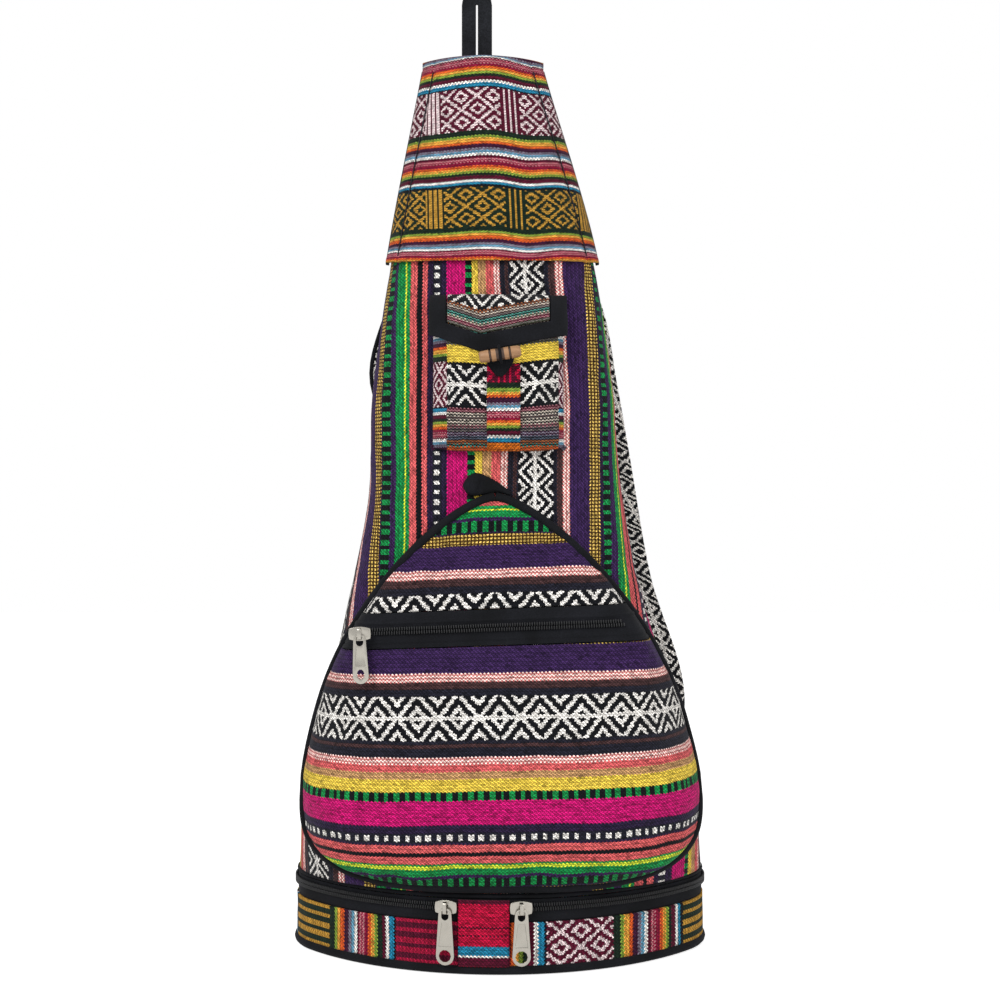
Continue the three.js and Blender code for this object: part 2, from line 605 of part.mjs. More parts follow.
const zipSkew = Math.tan(POCKET_ZIP_TILT) * pocketHalf(POCKET_ZIP_Z);

function buildPocket() {
  add('pocket_piping', pocketPiping(POCKET_PIPING_R), BLACK_CLOTH);
  const seam = pocketPiping(POCKET_PIPING_R + GAP);
  const upperFrom = POCKET_ZIP_Z + POCKET_ZIP_BAND / 2;
  const upperTo = WIDE.z + (POCKET_APEX_Z - WIDE.z) * POCKET_LAST_RISE.panel;
  const upper = (u, v) => {
    const z = THREE.MathUtils.lerp(upperFrom, upperTo, v);
    return pocketPoint(z, zipSkew * (1 - v), Math.sin((u - 0.5) * Math.PI));
  };
  add('pocket_upper_panel', cut(sheet(upper, 16, 8, CLOTH), seam), STRIPED);
  const lowerTop = POCKET_ZIP_Z - POCKET_ZIP_BAND / 2;
  const lower = (u, v) => {
    const t = 2 * u - 1;
    const w = lowerAcross(t) / lowerAcross(1);
    if (v >= 1 - LOWER_SIDE_SHARE) {
      const up = (v - 1 + LOWER_SIDE_SHARE) / LOWER_SIDE_SHARE;
      return pocketPoint(THREE.MathUtils.lerp(WIDE.z, lowerTop, up), zipSkew * up, w);
    }
    const down = 1 - v / (1 - LOWER_SIDE_SHARE);
    const belly = pocketPoint(WIDE.z, 0, w);
    const foot = pocketFoot(t);
    const round = Math.sqrt(1 - down ** POCKET_SECTION.footRound);
    const hold = THREE.MathUtils.lerp(round, 1 - down, Math.abs(w) ** POCKET_SECTION.footCorner);
    const y = foot.y + (belly.y - foot.y) * hold;
    return belly.lerp(foot, down).setY(y);
  };
  add('pocket_lower_panel', cut(sheet(lower, 20, 12, CLOTH), seam), STRIPED);
  const tape = (u, v) => {
    const z = POCKET_ZIP_Z + (v - 0.5) * (POCKET_ZIP_BAND - 4 * GAP);
    return pocketPoint(z, zipSkew, Math.sin((u - 0.5) * Math.PI));
  };
  add('pocket_zip_tape', cut(sheet(tape, 20, 2, TAPE_T), seam), BLACK_CLOTH);
  const middle = pocketCentre(POCKET_ZIP_Z);
  const span = pocketSide(1, POCKET_ZIP_Z).x - middle;
  const chain = (u, v) => {
    const z = POCKET_ZIP_Z + (v - 0.5) * CHAIN_WIDTH;
    const x = THREE.MathUtils.lerp(POCKET_ZIP_FROM, POCKET_ZIP_TO, u);
    return pocketPoint(z, zipSkew, (x - middle) / span, CHAIN_OUT);
  };
  add('pocket_zip_chain', sheet(chain, 24, 1, CHAIN_T), BLACK_CLOTH);
  const seat = new THREE.Group();
  const seatZ = POCKET_ZIP_Z + POCKET_SLIDER_X * Math.tan(POCKET_ZIP_TILT);
  seat.position.set(POCKET_SLIDER_X, -pocketDepth(seatZ - CHAIN_WIDTH / 2) - CHAIN_OUT - GAP, seatZ);
  seat.rotation.y = -POCKET_ZIP_TILT;
  bag.add(seat);
  addSlider('pocket_zip_slider', 'pocket_pull_tab', seat, POCKET_TAB);
}

// Small folded cloth loop that lies flat above the pocket's top point
function buildCornerTab() {
  const half = CORNER_TAB.width / 2;
  const straight = CORNER_TAB.length - half;
  const shape = new THREE.Shape();
  shape.moveTo(0, -half);
  shape.lineTo(0, half);
  shape.lineTo(-straight, half);
  shape.absarc(-straight, 0, half, Math.PI / 2, 1.5 * Math.PI, false);
  const tab = frontPlate(shape, CORNER_TAB.thick).translate(CORNER_TAB.length / 2, 0, 0);
  const mesh = add('pocket_corner_tab', tab, BLACK_CLOTH);
  mesh.rotation.y = CORNER_TAB.turn;
  const seat = -bodyFront(CORNER_TAB.z - CORNER_TAB.width) - GAP;
  mesh.position.set(CORNER_TAB.x, seat, CORNER_TAB.z);
}

// Depth of the pouch's face in front of the body, closed at the sides and foot and open at the top
function pouchY(x, z) {
  const across = Math.min(Math.abs(x - POUCH.x) / POUCH.half, 1);
  const down = THREE.MathUtils.clamp(1 - (z - POUCH.z) / POUCH.height, 0, 1);
  const swell = Math.sqrt((1 - across ** POUCH.sideSquare) * (1 - down ** POUCH.footSquare));
  return frontY(x, z) - GAP - CLOTH - POUCH.depth * swell;
}

// The flap leaves the body above the pouch, folds over its mouth and hangs down its front
function flapY(x, z) {
  const across = Math.abs(x - POUCH.x) / FLAP.half;
  const over = THREE.MathUtils.clamp((z - FLAP.top + FLAP.fold) / FLAP.fold, 0, 1);
  const curl = 1 - FLAP_CURL * across ** FLAP_SQUARE;
  const reach = (POUCH.depth + CLOTH + GAP) * Math.sqrt(1 - over ** 2) * curl;
  return frontY(x, z) - GAP - CLOTH - reach;
}

function buildPouch() {
  const face = (u, v) => {
    const x = POUCH.x + POUCH.half * Math.sin((u - 0.5) * Math.PI);
    const z = POUCH.z + POUCH.height * (1 - Math.cos(v * Math.PI / 2));
    return new THREE.Vector3(x, pouchY(x, z), z);
  };
  add('pouch_body', sheet(face, 16, 8, CLOTH), STRIPED);
  const strip = (u, v) => {
    const x = STRIP.x + STRIP.half * (2 * u - 1);
    const z = THREE.MathUtils.lerp(STRIP.bottom, STRIP.top, v);
    return new THREE.Vector3(x, pouchY(x, z) - GAP - STRIP.thick, z);
  };
  add('pouch_strip', sheet(strip, 4, 10, STRIP.thick), HOOD_CLOTH);
}

// Height of the flap's lower edge: a shallow point between its two corners
function flapEdge(x) {
  const side = x < FLAP.tipX ? POUCH.x - FLAP.half : POUCH.x + FLAP.half;
  return THREE.MathUtils.lerp(FLAP.tip, FLAP.corner, (x - FLAP.tipX) / (side - FLAP.tipX));
}

const onFlap = (x, z) => new THREE.Vector3(x, flapY(x, z), z);

function buildFlap() {
  const left = POUCH.x - FLAP.half;
  const right = POUCH.x + FLAP.half;
  const inset = FLAP_BINDING + 3 * GAP;
  const field = (u, v) => {
    const x = THREE.MathUtils.lerp(left + inset, right - inset, u);
    return onFlap(x, THREE.MathUtils.lerp(flapEdge(x) + inset, FLAP.top, v));
  };
  add('pouch_flap', sheet(field, 8, 8, CLOTH), HOOD_CLOTH);
  const corners = [left, left, FLAP.tipX, right, right];
  const border = (u, v) => {
    const leg = Math.min(Math.floor(u * 4), 3);
    const share = u * 4 - leg;
    const inward = v * FLAP_BINDING;
    const ends = [leg, leg + 1].map((k) => {
      const x = corners[k] + inward * (k < 2 ? 1 : k > 2 ? -1 : 0);
      const z = k % 4 === 0 ? FLAP.top : flapEdge(x) + inward;
      return new THREE.Vector2(x, z);
    });
    const spot = ends[0].lerp(ends[1], share);
    return onFlap(spot.x, spot.y);
  };
  add('pouch_flap_binding', sheet(border, 24, 2, CLOTH), BLACK_CLOTH);
}

// Turned toggle with two ring grooves, the cord round its middle and the cloth loop behind it
function buildToggle() {
  const half = TOGGLE.length / 2;
  const floor = TOGGLE.r - RING.depth;
  const right = [
    [TOGGLE.r, RING.from],
    [TOGGLE.r, RING.x - RING.width / 2],
    [floor, RING.x - RING.floor / 2],
    [floor, RING.x + RING.floor / 2],
    [TOGGLE.r, RING.x + RING.width / 2],
    [TOGGLE.waist, half - RING.depth],
    [TOGGLE.waist - RING.depth, half],
    [0, half],
  ];
  const left = right.map(([radius, along]) => [radius, -along]).reverse();
  const profile = [...left, ...right].map(([radius, along]) => new THREE.Vector2(radius, along));
  const barrel = new THREE.LatheGeometry(profile, 16);
  const loopBack = pouchY(STRIP.x, TOGGLE_LOOP.tip) - STRIP.thick - 2 * GAP;
  const cordR = TOGGLE.r + GAP + TOGGLE_CORD_R;
  const knot = new THREE.Group();
  knot.position.set(0, loopBack - TOGGLE_LOOP.thick - GAP - cordR - TOGGLE_CORD_R, TOGGLE.z);
  knot.rotation.y = Math.PI / 2 - TOGGLE.tilt;
  bag.add(knot);
  add('toggle', barrel.rotateX(Math.PI / 2), WOOD, knot);
  add('toggle_cord', new THREE.TorusGeometry(cordR, TOGGLE_CORD_R, 6, 16), BLACK_CLOTH, knot);
  const shape = new THREE.Shape();
  shape.moveTo(-TOGGLE_LOOP.half, TOGGLE_LOOP.top);
  shape.lineTo(0, TOGGLE_LOOP.tip);
  shape.lineTo(TOGGLE_LOOP.half, TOGGLE_LOOP.top);
  const loop = add('toggle_loop', frontPlate(shape, TOGGLE_LOOP.thick), BLACK_CLOTH);
  loop.position.y = loopBack;
}

buildBase();
buildBaseZip();
buildBody();
buildHood();
buildStrap();
buildPocket();
buildCornerTab();
buildPouch();
buildFlap();
buildToggle();

export default bag;
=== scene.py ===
"""Sling backpack in striped woven cotton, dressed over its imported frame.

Shapes are worked out in millimetres, in the frame's own axes: +Z up, the front towards -Y.
"""
import math
from collections import Counter

import bpy
from mathutils import Matrix, Vector, noise


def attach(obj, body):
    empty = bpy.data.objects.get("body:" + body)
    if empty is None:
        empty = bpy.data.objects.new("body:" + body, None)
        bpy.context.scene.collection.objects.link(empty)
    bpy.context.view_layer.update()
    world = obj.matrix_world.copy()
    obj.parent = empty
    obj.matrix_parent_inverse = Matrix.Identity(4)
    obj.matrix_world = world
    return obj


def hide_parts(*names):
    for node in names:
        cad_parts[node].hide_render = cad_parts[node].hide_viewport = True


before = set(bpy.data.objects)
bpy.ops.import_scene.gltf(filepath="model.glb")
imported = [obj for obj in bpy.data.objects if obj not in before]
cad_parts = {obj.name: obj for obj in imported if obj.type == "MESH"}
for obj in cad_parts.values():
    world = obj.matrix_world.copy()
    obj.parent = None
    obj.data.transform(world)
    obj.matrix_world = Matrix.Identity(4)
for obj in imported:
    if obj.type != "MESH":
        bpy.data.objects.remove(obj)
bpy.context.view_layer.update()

MM = 0.001

# Cloth, trim and clearances of the frame
GAP = 0.3
CLOTH = 2.0
TAPE_T = 1.2
CHAIN_WIDTH = 6.6
CHAIN_T = 1.8

# Oval base
BASE_WIDTH = 266.0
BASE_DEPTH = 176.0
BASE_END_R = 50.0
BAND_Z = 9.0
BAND_HEIGHT = 22.5
BAND_INSET = 1.5
BASE_TAPE_Z = 31.8
BASE_TAPE_HEIGHT = 13.5
BASE_TAPE_INSET = 2.5
BASE_CHAIN_Z = 41.0
SEAM_Z = 47.1
SEAM_PIPING_R = 1.5
BODY_Z = 48.9
FOOT_INSET = 3.0
LEFT_SLIDER_X = -32.0
RIGHT_SLIDER_X = 12.5
SLIDER_LENGTH = 12.6
BRIDGE_T = 1.2

# Tapered body: height, half width, lean of the centre line, depth to front and back, squareness
BODY_TOP = 562.0
SIDE_SEAM = math.radians(100)
LEVELS = [
    dict(z=BODY_Z, half=130.0, lean=0.0, front=85.0, back=85.0, square=2.05),
    dict(z=102.0, half=125.0, lean=0.0, front=72.0, back=80.0, square=3.2),
    dict(z=160.0, half=111.0, lean=-0.5, front=66.0, back=71.0, square=3.4),
    dict(z=219.0, half=95.0, lean=-2.5, front=60.0, back=62.0, square=3.4),
    dict(z=284.0, half=82.0, lean=-3.0, front=54.0, back=54.0, square=3.4),
    dict(z=349.0, half=78.0, lean=-4.5, front=48.0, back=46.0, square=3.2),
    dict(z=439.0, half=66.0, lean=-5.0, front=40.0, back=34.0, square=2.3),
    dict(z=BODY_TOP, half=37.0, lean=-11.0, front=26.0, back=14.0, square=1.7),
]
WIDE_Z = LEVELS[1]["z"]

# Hood, hanging loop and strap
HOOD_HEM_Z = 437.0
HEM_DROOP = dict(depth=3.4, share=0.09)
HOOD_BACK_Z = 505.0
HOOD_FOLD = 3.0
HOOD_WRAP = math.radians(80)
HOOD_BINDING_WRAP = math.radians(12)
HOOD_OUT = 2.9
HOOD_TOP = BODY_TOP + HOOD_OUT
HOOD_SHARES = dict(front=0.7, fold=0.1)
STRAP_T = 7.0
STRAP_BOW = 36.0
STRAP_BOW_CURVE = 0.8
STRAP_LEVELS = [
    dict(z=78.0, left=52.0, right=108.0),
    dict(z=150.0, left=56.0, right=127.0),
    dict(z=230.0, left=16.0, right=106.5),
    dict(z=312.0, left=-60.0, right=92.0),
    dict(z=364.0, left=-88.5, right=81.5),
    dict(z=419.0, left=-74.0, right=68.0),
    dict(z=498.0, left=-40.0, right=20.0),
]

# Teardrop front pocket
POCKET_HALF = 121.5
POCKET_CENTRE = 1.0
POCKET_APEX_X = -3.0
POCKET_APEX_Z = 286.0
POCKET_BOTTOM_Z = 51.4
POCKET_TAPER = 1.7
POCKET_ROUND = 0.7
POCKET_CORNER = 3.4
POCKET_PIPING_R = 2.6
POCKET_BULGE = 97.0
POCKET_ZIP_DEPTH = 72.0
POCKET_ZIP_Z = 206.3
POCKET_ZIP_TILT = math.radians(2)
POCKET_ZIP_BAND = 23.0
POCKET_ZIP_FROM = -80.0
POCKET_ZIP_TO = 77.0
BULGE_EASE = dict(rise=30.0, depth=6.0)
BELOW_ZIP = dict(drop=36.0, depth=4.0)
ABOVE_ZIP = dict(rise=44.0, depth=4.0)
POCKET_SECTION = dict(plain=4.0, at_zip=16.0, reach=22.0, foot_corner=12.0, foot_round=3.0)
POCKET_LAST_RISE = dict(piping=0.99, panel=0.988)
LOWER_SIDE_SHARE = 0.55
CORNER_STOP = 0.985

# Pouch with its flap and toggle
POUCH = dict(x=-1.0, half=40.5, z=314.0, height=84.0, depth=16.0, side_square=5.0, foot_square=7.0)
FLAP = dict(half=42.7, top=412.0, fold=14.0, corner=385.5, tip_x=-12.0, tip=374.5)
FLAP_BINDING = 10.4
FLAP_CURL = 0.45
FLAP_SQUARE = 6.0
STRIP = dict(x=2.2, half=10.2, bottom=324.0, top=367.0, thick=1.5)
TOGGLE = dict(length=25.5, r=3.75, z=372.0, tilt=0.157, y=-75.62)
TOGGLE_RING = dict(x=6.05, width=1.4, floor=0.64, depth=0.5, start=2.55)

# Cloth simulation: its frames, its settings, and how far a panel has to face the front to give
SETTLE_FRAMES = 20
SETTLE = dict(
    quality=5, mass=0.2, bending_stiffness=0.3, shrink_min=-0.025, use_pressure=True,
    uniform_pressure_force=4.0)
FACING = dict(held=0.3, free=0.7)

# Merging of points in millimetres, and the angles at which a copied solid is flat, softened or shaded smooth
MERGE = 0.02
NODE_MERGE = 0.005
FLAT_UNDER = math.radians(2)
SOFT_OVER = math.radians(35)
SMOOTH_UNDER = math.radians(40)


# Meshes

def linear(code):
    """sRGB hex colour as linear RGBA."""
    parts = [int(code[k:k + 2], 16) / 255 for k in (1, 3, 5)]
    return [c / 12.92 if c <= 0.04045 else ((c + 0.055) / 1.055) ** 2.4 for c in parts] + [1.0]


def lerp(a, b, t):
    return a + (b - a) * t


def clamp(value, low, high):
    return max(low, min(high, value))


def near(off, reach):
    """1 at a place, fading away over its reach."""
    return math.exp(-(off / reach) ** 2)


def uneven(spot, waves, folded=False):
    """Height of uneven cloth at a spot: the sum of waves, each with a height and its sizes along X, Y and Z.
    Folded cloth has the upper half of each wave only."""
    height = 0
    for rise, sizes in waves:
        wave = noise.noise(Vector([place / size for place, size in zip(spot, sizes)]))
        height += rise * (max(0, wave) if folded else wave)
    return height


def only(piece):
    """Makes a piece the one selected and active object."""
    bpy.ops.object.select_all(action="DESELECT")
    piece.select_set(True)
    bpy.context.view_layer.objects.active = piece
    return piece


def apply_modifiers(piece):
    """Applies a piece's modifiers in their order."""
    only(piece)
    for modifier in list(piece.modifiers):
        bpy.ops.object.modifier_apply(modifier=modifier.name)
    return piece


def edit(piece, operator, **settings):
    """Runs one mesh operator on the whole of a piece."""
    only(piece)
    bpy.ops.object.mode_set(mode="EDIT")
    bpy.ops.mesh.select_all(action="SELECT")
    operator(**settings)
    bpy.ops.object.mode_set(mode="OBJECT")
    return piece


def dress(piece, materials, slot, body, *nodes):
    """Gives a piece its finishes and its body, and hides the nodes that it stands for."""
    parts = [face.material_index for face in piece.data.polygons]
    piece.data.materials.clear()
    for material in materials if isinstance(materials, list) else [materials]:
        piece.data.materials.append(material)
    if isinstance(materials, list):
        piece.data.polygons.foreach_set("material_index", parts)
    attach(piece, body)
    if nodes:
        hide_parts(*nodes)
    return piece


def cloth_grid(name, face, columns, rows, weave=None, hoop=False, measure=None):
    """Grid laid on face(u, v), u to the right and v up as seen from outside. Its UV map holds the
    cloth's own millimetres: along the stripes and across them, by weave(spot, across, along, u, v),
    where across and along are distances over the cloth from the middle column and the lower edge.
    measure(step) gives the distance across that one step of the grid takes up."""
    measure = measure or (lambda step: step.length)
    bpy.ops.object.select_all(action="DESELECT")
    bpy.ops.mesh.primitive_grid_add(x_subdivisions=columns, y_subdivisions=rows, size=1)
    piece = bpy.context.object
    piece.name = piece.data.name = name
    mesh = piece.data
    places = [(round((v.co.x + 0.5) * columns), round((v.co.y + 0.5) * rows)) for v in mesh.vertices]
    spots = {place: Vector(face(place[0] / columns, place[1] / rows)) for place in places}
    middle = columns // 2
    across = {}
    along = {0: 0.0}
    for j in range(rows + 1):
        if j:
            along[j] = along[j - 1] + (spots[middle, j] - spots[middle, j - 1]).length
        across[middle, j] = 0.0
        for i in range(middle + 1, columns + 1):
            across[i, j] = across[i - 1, j] + measure(spots[i, j] - spots[i - 1, j])
        for i in range(middle - 1, -1, -1):
            across[i, j] = across[i + 1, j] - measure(spots[i + 1, j] - spots[i, j])
    for vertex, place in zip(mesh.vertices, places):
        vertex.co = spots[place] * MM
    layer = mesh.uv_layers.active
    layer.name = "flat"
    for loop in mesh.loops:
        i, j = places[loop.vertex_index]
        spot = (across[i, j], along[j])
        if weave:
            spot = weave(spots[i, j], across[i, j], along[j], i / columns, j / rows)
        layer.data[loop.index].uv = spot
    bpy.ops.object.shade_smooth()
    if hoop:
        edit(piece, bpy.ops.mesh.remove_doubles, threshold=MERGE * MM)
    return piece


def crumple(piece, depth):
    """Moves each point of a cloth along its normal by depth(spot), in millimetres."""
    moves = [vertex.normal * depth(vertex.co / MM) * MM for vertex in piece.data.vertices]
    for vertex, move in zip(piece.data.vertices, moves):
        vertex.co += move
    return piece


def settle(piece, give):
    """Simulates a panel as cloth that is sewn down along its edges and pressed out from inside. A point
    moves by less than give(spot) millimetres, and less where the panel turns in to its seam; the panel
    is then subdivided once."""
    mesh = piece.data
    before = [vertex.co.copy() for vertex in mesh.vertices]
    turned = FACING["free"] - FACING["held"]
    facing = [clamp((-vertex.normal.y - FACING["held"]) / turned, 0, 1) for vertex in mesh.vertices]
    faces_at = Counter(key for face in mesh.polygons for key in face.edge_keys)
    sewn = piece.vertex_groups.new(name="sewn")
    sewn.add(sorted({k for key, count in faces_at.items() if count == 1 for k in key}), 1.0, "REPLACE")
    cloth = piece.modifiers.new("cloth", "CLOTH")
    cloth.settings.vertex_group_mass = "sewn"
    for key, value in SETTLE.items():
        setattr(cloth.settings, key, value)
    cloth.settings.effector_weights.gravity = 0
    cloth.point_cache.frame_end = SETTLE_FRAMES
    for moment in range(1, SETTLE_FRAMES + 1):
        bpy.context.scene.frame_set(moment)
    apply_modifiers(piece)
    bpy.context.scene.frame_set(1)
    for vertex, start, share in zip(mesh.vertices, before, facing):
        move = (vertex.co - start) / MM
        cap = give(start / MM) * share
        vertex.co = start + move * (cap / (cap + move.length + GAP)) * MM
    piece.vertex_groups.clear()
    finer = piece.modifiers.new("finer", "SUBSURF")
    finer.levels = finer.render_levels = 1
    return apply_modifiers(piece)


def thicken(piece, thick):
    """Gives a cloth its thickness inwards."""
    wall = piece.modifiers.new("wall", "SOLIDIFY")
    wall.thickness = thick * MM
    wall.offset = -1
    return apply_modifiers(piece)


def declare_sheet(piece):
    """Hands the panel back unchanged."""
    return piece


def pipe(name, points, radius, closed=False, sides=4):
    """Round piping along points."""
    curve = bpy.data.curves.new(name, "CURVE")
    curve.dimensions = "3D"
    curve.bevel_depth = radius * MM
    curve.bevel_resolution = sides
    curve.use_fill_caps = not closed
    spline = curve.splines.new("POLY")
    spline.points.add(len(points) - 1)
    for point, spot in zip(spline.points, points):
        point.co = (*(Vector(spot) * MM), 1)
    spline.use_cyclic_u = closed
    piece = bpy.data.objects.new(name, curve)
    bpy.context.collection.objects.link(piece)
    only(piece)
    bpy.ops.object.convert(target="MESH")
    bpy.ops.object.shade_smooth()
    return bpy.context.object


def node_copy(node, name, bevel, segments=2):
    """Merged copy of a frame solid with its edges softened."""
    piece = bpy.data.objects.new(name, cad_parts[node].data.copy())
    piece.data.name = name
    bpy.context.collection.objects.link(piece)
    edit(piece, bpy.ops.mesh.remove_doubles, threshold=NODE_MERGE * MM)
    edit(piece, bpy.ops.mesh.dissolve_limited, angle_limit=FLAT_UNDER)
    soft = piece.modifiers.new("soft_edges", "BEVEL")
    soft.width = bevel * MM
    soft.segments = segments
    soft.limit_method = "ANGLE"
    soft.angle_limit = SOFT_OVER
    apply_modifiers(piece)
    bpy.ops.object.shade_smooth_by_angle(angle=SMOOTH_UNDER)
    return piece


def row_of(name, sizes, soft, places):
    """Many small rounded bars in one mesh: one is modelled at its sizes and set at each place."""
    bpy.ops.object.select_all(action="DESELECT")
    bpy.ops.mesh.primitive_cube_add(size=1)
    piece = bpy.context.object
    piece.name = piece.data.name = name
    edit(piece, bpy.ops.transform.resize, value=[size * MM for size in sizes])
    edit(piece, bpy.ops.mesh.bevel, offset=soft * MM, segments=1, affect="EDGES")
    corners = [vertex.co.copy() for vertex in piece.data.vertices]
    faces = [list(face.vertices) for face in piece.data.polygons]
    spots = [place @ corner for place in places for corner in corners]
    count = len(corners)
    walls = [[k * count + c for c in face] for k in range(len(places)) for face in faces]
    piece.data.clear_geometry()
    piece.data.from_pydata(spots, [], walls)
    bpy.ops.object.shade_smooth()
    return piece


def seat(spot, forward, out):
    """Place at a spot in millimetres whose X runs forward and whose Z looks outwards."""
    x = forward.normalized()
    y = out.cross(x).normalized()
    turn = Matrix((x, y, x.cross(y))).transposed().to_4x4()
    return Matrix.Translation(Vector(spot) * MM) @ turn


def evenly(points, pitch):
    """Spots along a line of points at an even pitch, with the line's direction and its stretch there."""
    found = []
    left = pitch / 2
    for n, (a, b) in enumerate(zip(points, points[1:])):
        step = b - a
        while left <= step.length and step.length:
            found.append((a + step * (left / step.length), step, n))
            left += pitch
        left -= step.length
    return found


# Forms of the body, the pocket and the pouch

def through(levels, size):
    """Smooth curve of one size through the levels, as in the part's source."""
    heights = [level["z"] for level in levels]
    values = [level[size] for level in levels]
    last = len(levels) - 1

    def value(z):
        if z <= heights[0]:
            return values[0]
        if z >= heights[last]:
            return values[last]
        k = next(i for i in range(last) if z <= heights[i + 1])
        low, high = heights[k], heights[k + 1]
        before = (k - 1, heights[k - 1]) if k else (k + 1, high)
        after = (k + 2, heights[k + 2]) if k + 2 <= last else (k, low)
        half = (high - low) / 2
        back = half / (low - before[1])
        ahead = half / (after[1] - high)
        p = (z - low) / (high - low)
        share = [
            -back * p ** 3 + 2 * back * p ** 2 - back * p,
            (1 + back) * p ** 3 - (1.5 + 2 * back) * p ** 2 + (back - 0.5) * p + 1,
            -(1 + ahead) * p ** 3 + (1.5 + ahead) * p ** 2 + 0.5 * p,
            ahead * p ** 3 - ahead * p ** 2,
        ]
        picked = [values[before[0]], values[k], values[k + 1], values[after[0]]]
        return sum(a * b for a, b in zip(share, picked))

    return value


body_half = through(LEVELS, "half")
body_lean = through(LEVELS, "lean")
body_front = through(LEVELS, "front")
body_back = through(LEVELS, "back")
body_square = through(LEVELS, "square")
strap_left = through(STRAP_LEVELS, "left")
strap_right = through(STRAP_LEVELS, "right")


def rounded(value, square):
    """Sine or cosine drawn towards a square."""
    return math.copysign(abs(value) ** (2 / square), value)


def body_point(turn, z, out=0.0):
    """Point of the body's outer side, at a turn from the front round its squared oval."""
    square = body_square(z)
    s, c = math.sin(turn), math.cos(turn)
    reach = (abs(s) ** square + abs(c) ** square) ** (-1 / square)
    depth = (body_front(z) if c > 0 else body_back(z)) + out
    return Vector((body_lean(z) + (body_half(z) + out) * reach * s, -depth * reach * c, z))


def even_turn(angle, z):
    """Turn at which the squared oval has the place that the part's source gives to an angle."""
    square = body_square(z)
    return math.atan2(rounded(math.sin(angle), square), rounded(math.cos(angle), square))


def front_share(x, z):
    """Share of the body's depth that is left at x, at a height."""
    square = body_square(z)
    across = min(abs(x - body_lean(z)) / body_half(z), 1)
    return (1 - across ** square) ** (1 / square)


def front_y(x, z):
    return -body_front(z) * front_share(x, z)


def back_y(x, z):
    return body_back(z) * front_share(x, z)


def front_normal(spot):
    """Direction out of the body's front at a spot."""
    def field(x, y, z):
        square = body_square(z)
        return (abs(x - body_lean(z)) / body_half(z)) ** square + (abs(y) / body_front(z)) ** square

    x, y, z = spot
    slope = Vector((
        field(x + GAP, y, z) - field(x - GAP, y, z),
        field(x, y + GAP, z) - field(x, y - GAP, z),
        field(x, y, z + GAP) - field(x, y, z - GAP),
    ))
    return slope.normalized()


def hood_point(u, v):
    """Hood: up the front, over the open top of the body and a short way down the back."""
    side = 2 * u - 1
    if v < HOOD_SHARES["front"]:
        share = v / HOOD_SHARES["front"]
        droop = HEM_DROOP["depth"] * (1 - side * side) * max(0, 1 - share / HEM_DROOP["share"])
        z = lerp(HOOD_HEM_Z, HOOD_TOP, share) - droop
        return body_point(side * even_turn(HOOD_WRAP, z), z, HOOD_OUT)
    past = (v - HOOD_SHARES["front"]) / HOOD_SHARES["fold"]
    if past > 1:
        share = (past - 1) * HOOD_SHARES["fold"] / (1 - HOOD_SHARES["front"] - HOOD_SHARES["fold"])
        z = lerp(HOOD_TOP, HOOD_BACK_Z, share)
        return body_point(math.pi - side * even_turn(HOOD_WRAP, z), z, HOOD_OUT)
    fold = math.pi * past
    turn = side * even_turn(HOOD_WRAP, HOOD_TOP)
    edge = body_point(turn if fold < math.pi / 2 else math.pi - turn, HOOD_TOP, HOOD_OUT)
    return Vector((edge.x, edge.y * abs(math.cos(fold)), HOOD_TOP + HOOD_FOLD * math.sin(fold)))


def strap_point(u, v, depth=0.0):
    """Strap, bowed away from the back between its sewn ends; depth is measured in from its outer side."""
    low, high = STRAP_LEVELS[0]["z"], STRAP_LEVELS[-1]["z"]
    z = lerp(low, high, v)
    free = math.sin(math.pi * clamp(v, 0, 1))
    left, right = strap_left(z), strap_right(z)
    x = lerp(right, left, u)
    middle = min((left + right) / 2, body_half(z) / 2)
    bow = 2 * GAP + STRAP_T + STRAP_BOW * free ** STRAP_BOW_CURVE
    return Vector((x, lerp(back_y(x, z), back_y(middle, z), free) + bow - depth, z))


def pocket_rise(z):
    """Share of the way from the pocket's widest level to its point."""
    return clamp((z - WIDE_Z) / (POCKET_APEX_Z - WIDE_Z), 0, 1)


def pocket_half(z):
    return POCKET_HALF * (1 - pocket_rise(z) ** POCKET_TAPER) ** POCKET_ROUND


def pocket_centre(z):
    return lerp(POCKET_CENTRE, POCKET_APEX_X, pocket_rise(z))


def on_piping(x, z):
    """Centre of the pocket's piping, standing on the body's front."""
    spot = Vector((x, front_y(x, z), z))
    return spot + front_normal(spot) * (POCKET_PIPING_R + GAP)


def pocket_side(side, z):
    """Piping at the pocket's left (-1) or right (1) side."""
    return on_piping(pocket_centre(z) + side * pocket_half(z), z)


def lower_across(t):
    """Place across the pocket's rounded foot, from -1 to 1, for an even step t along it."""
    return rounded(math.sin(t * CORNER_STOP * math.pi / 2), POCKET_CORNER)


def pocket_foot(t):
    """Piping round the pocket's foot, from -1 at the left to 1 at the right."""
    down = rounded(math.cos(t * CORNER_STOP * math.pi / 2), POCKET_CORNER)
    z = WIDE_Z - (WIDE_Z - POCKET_BOTTOM_Z) * down
    return on_piping(POCKET_CENTRE + POCKET_HALF * lower_across(t), z)


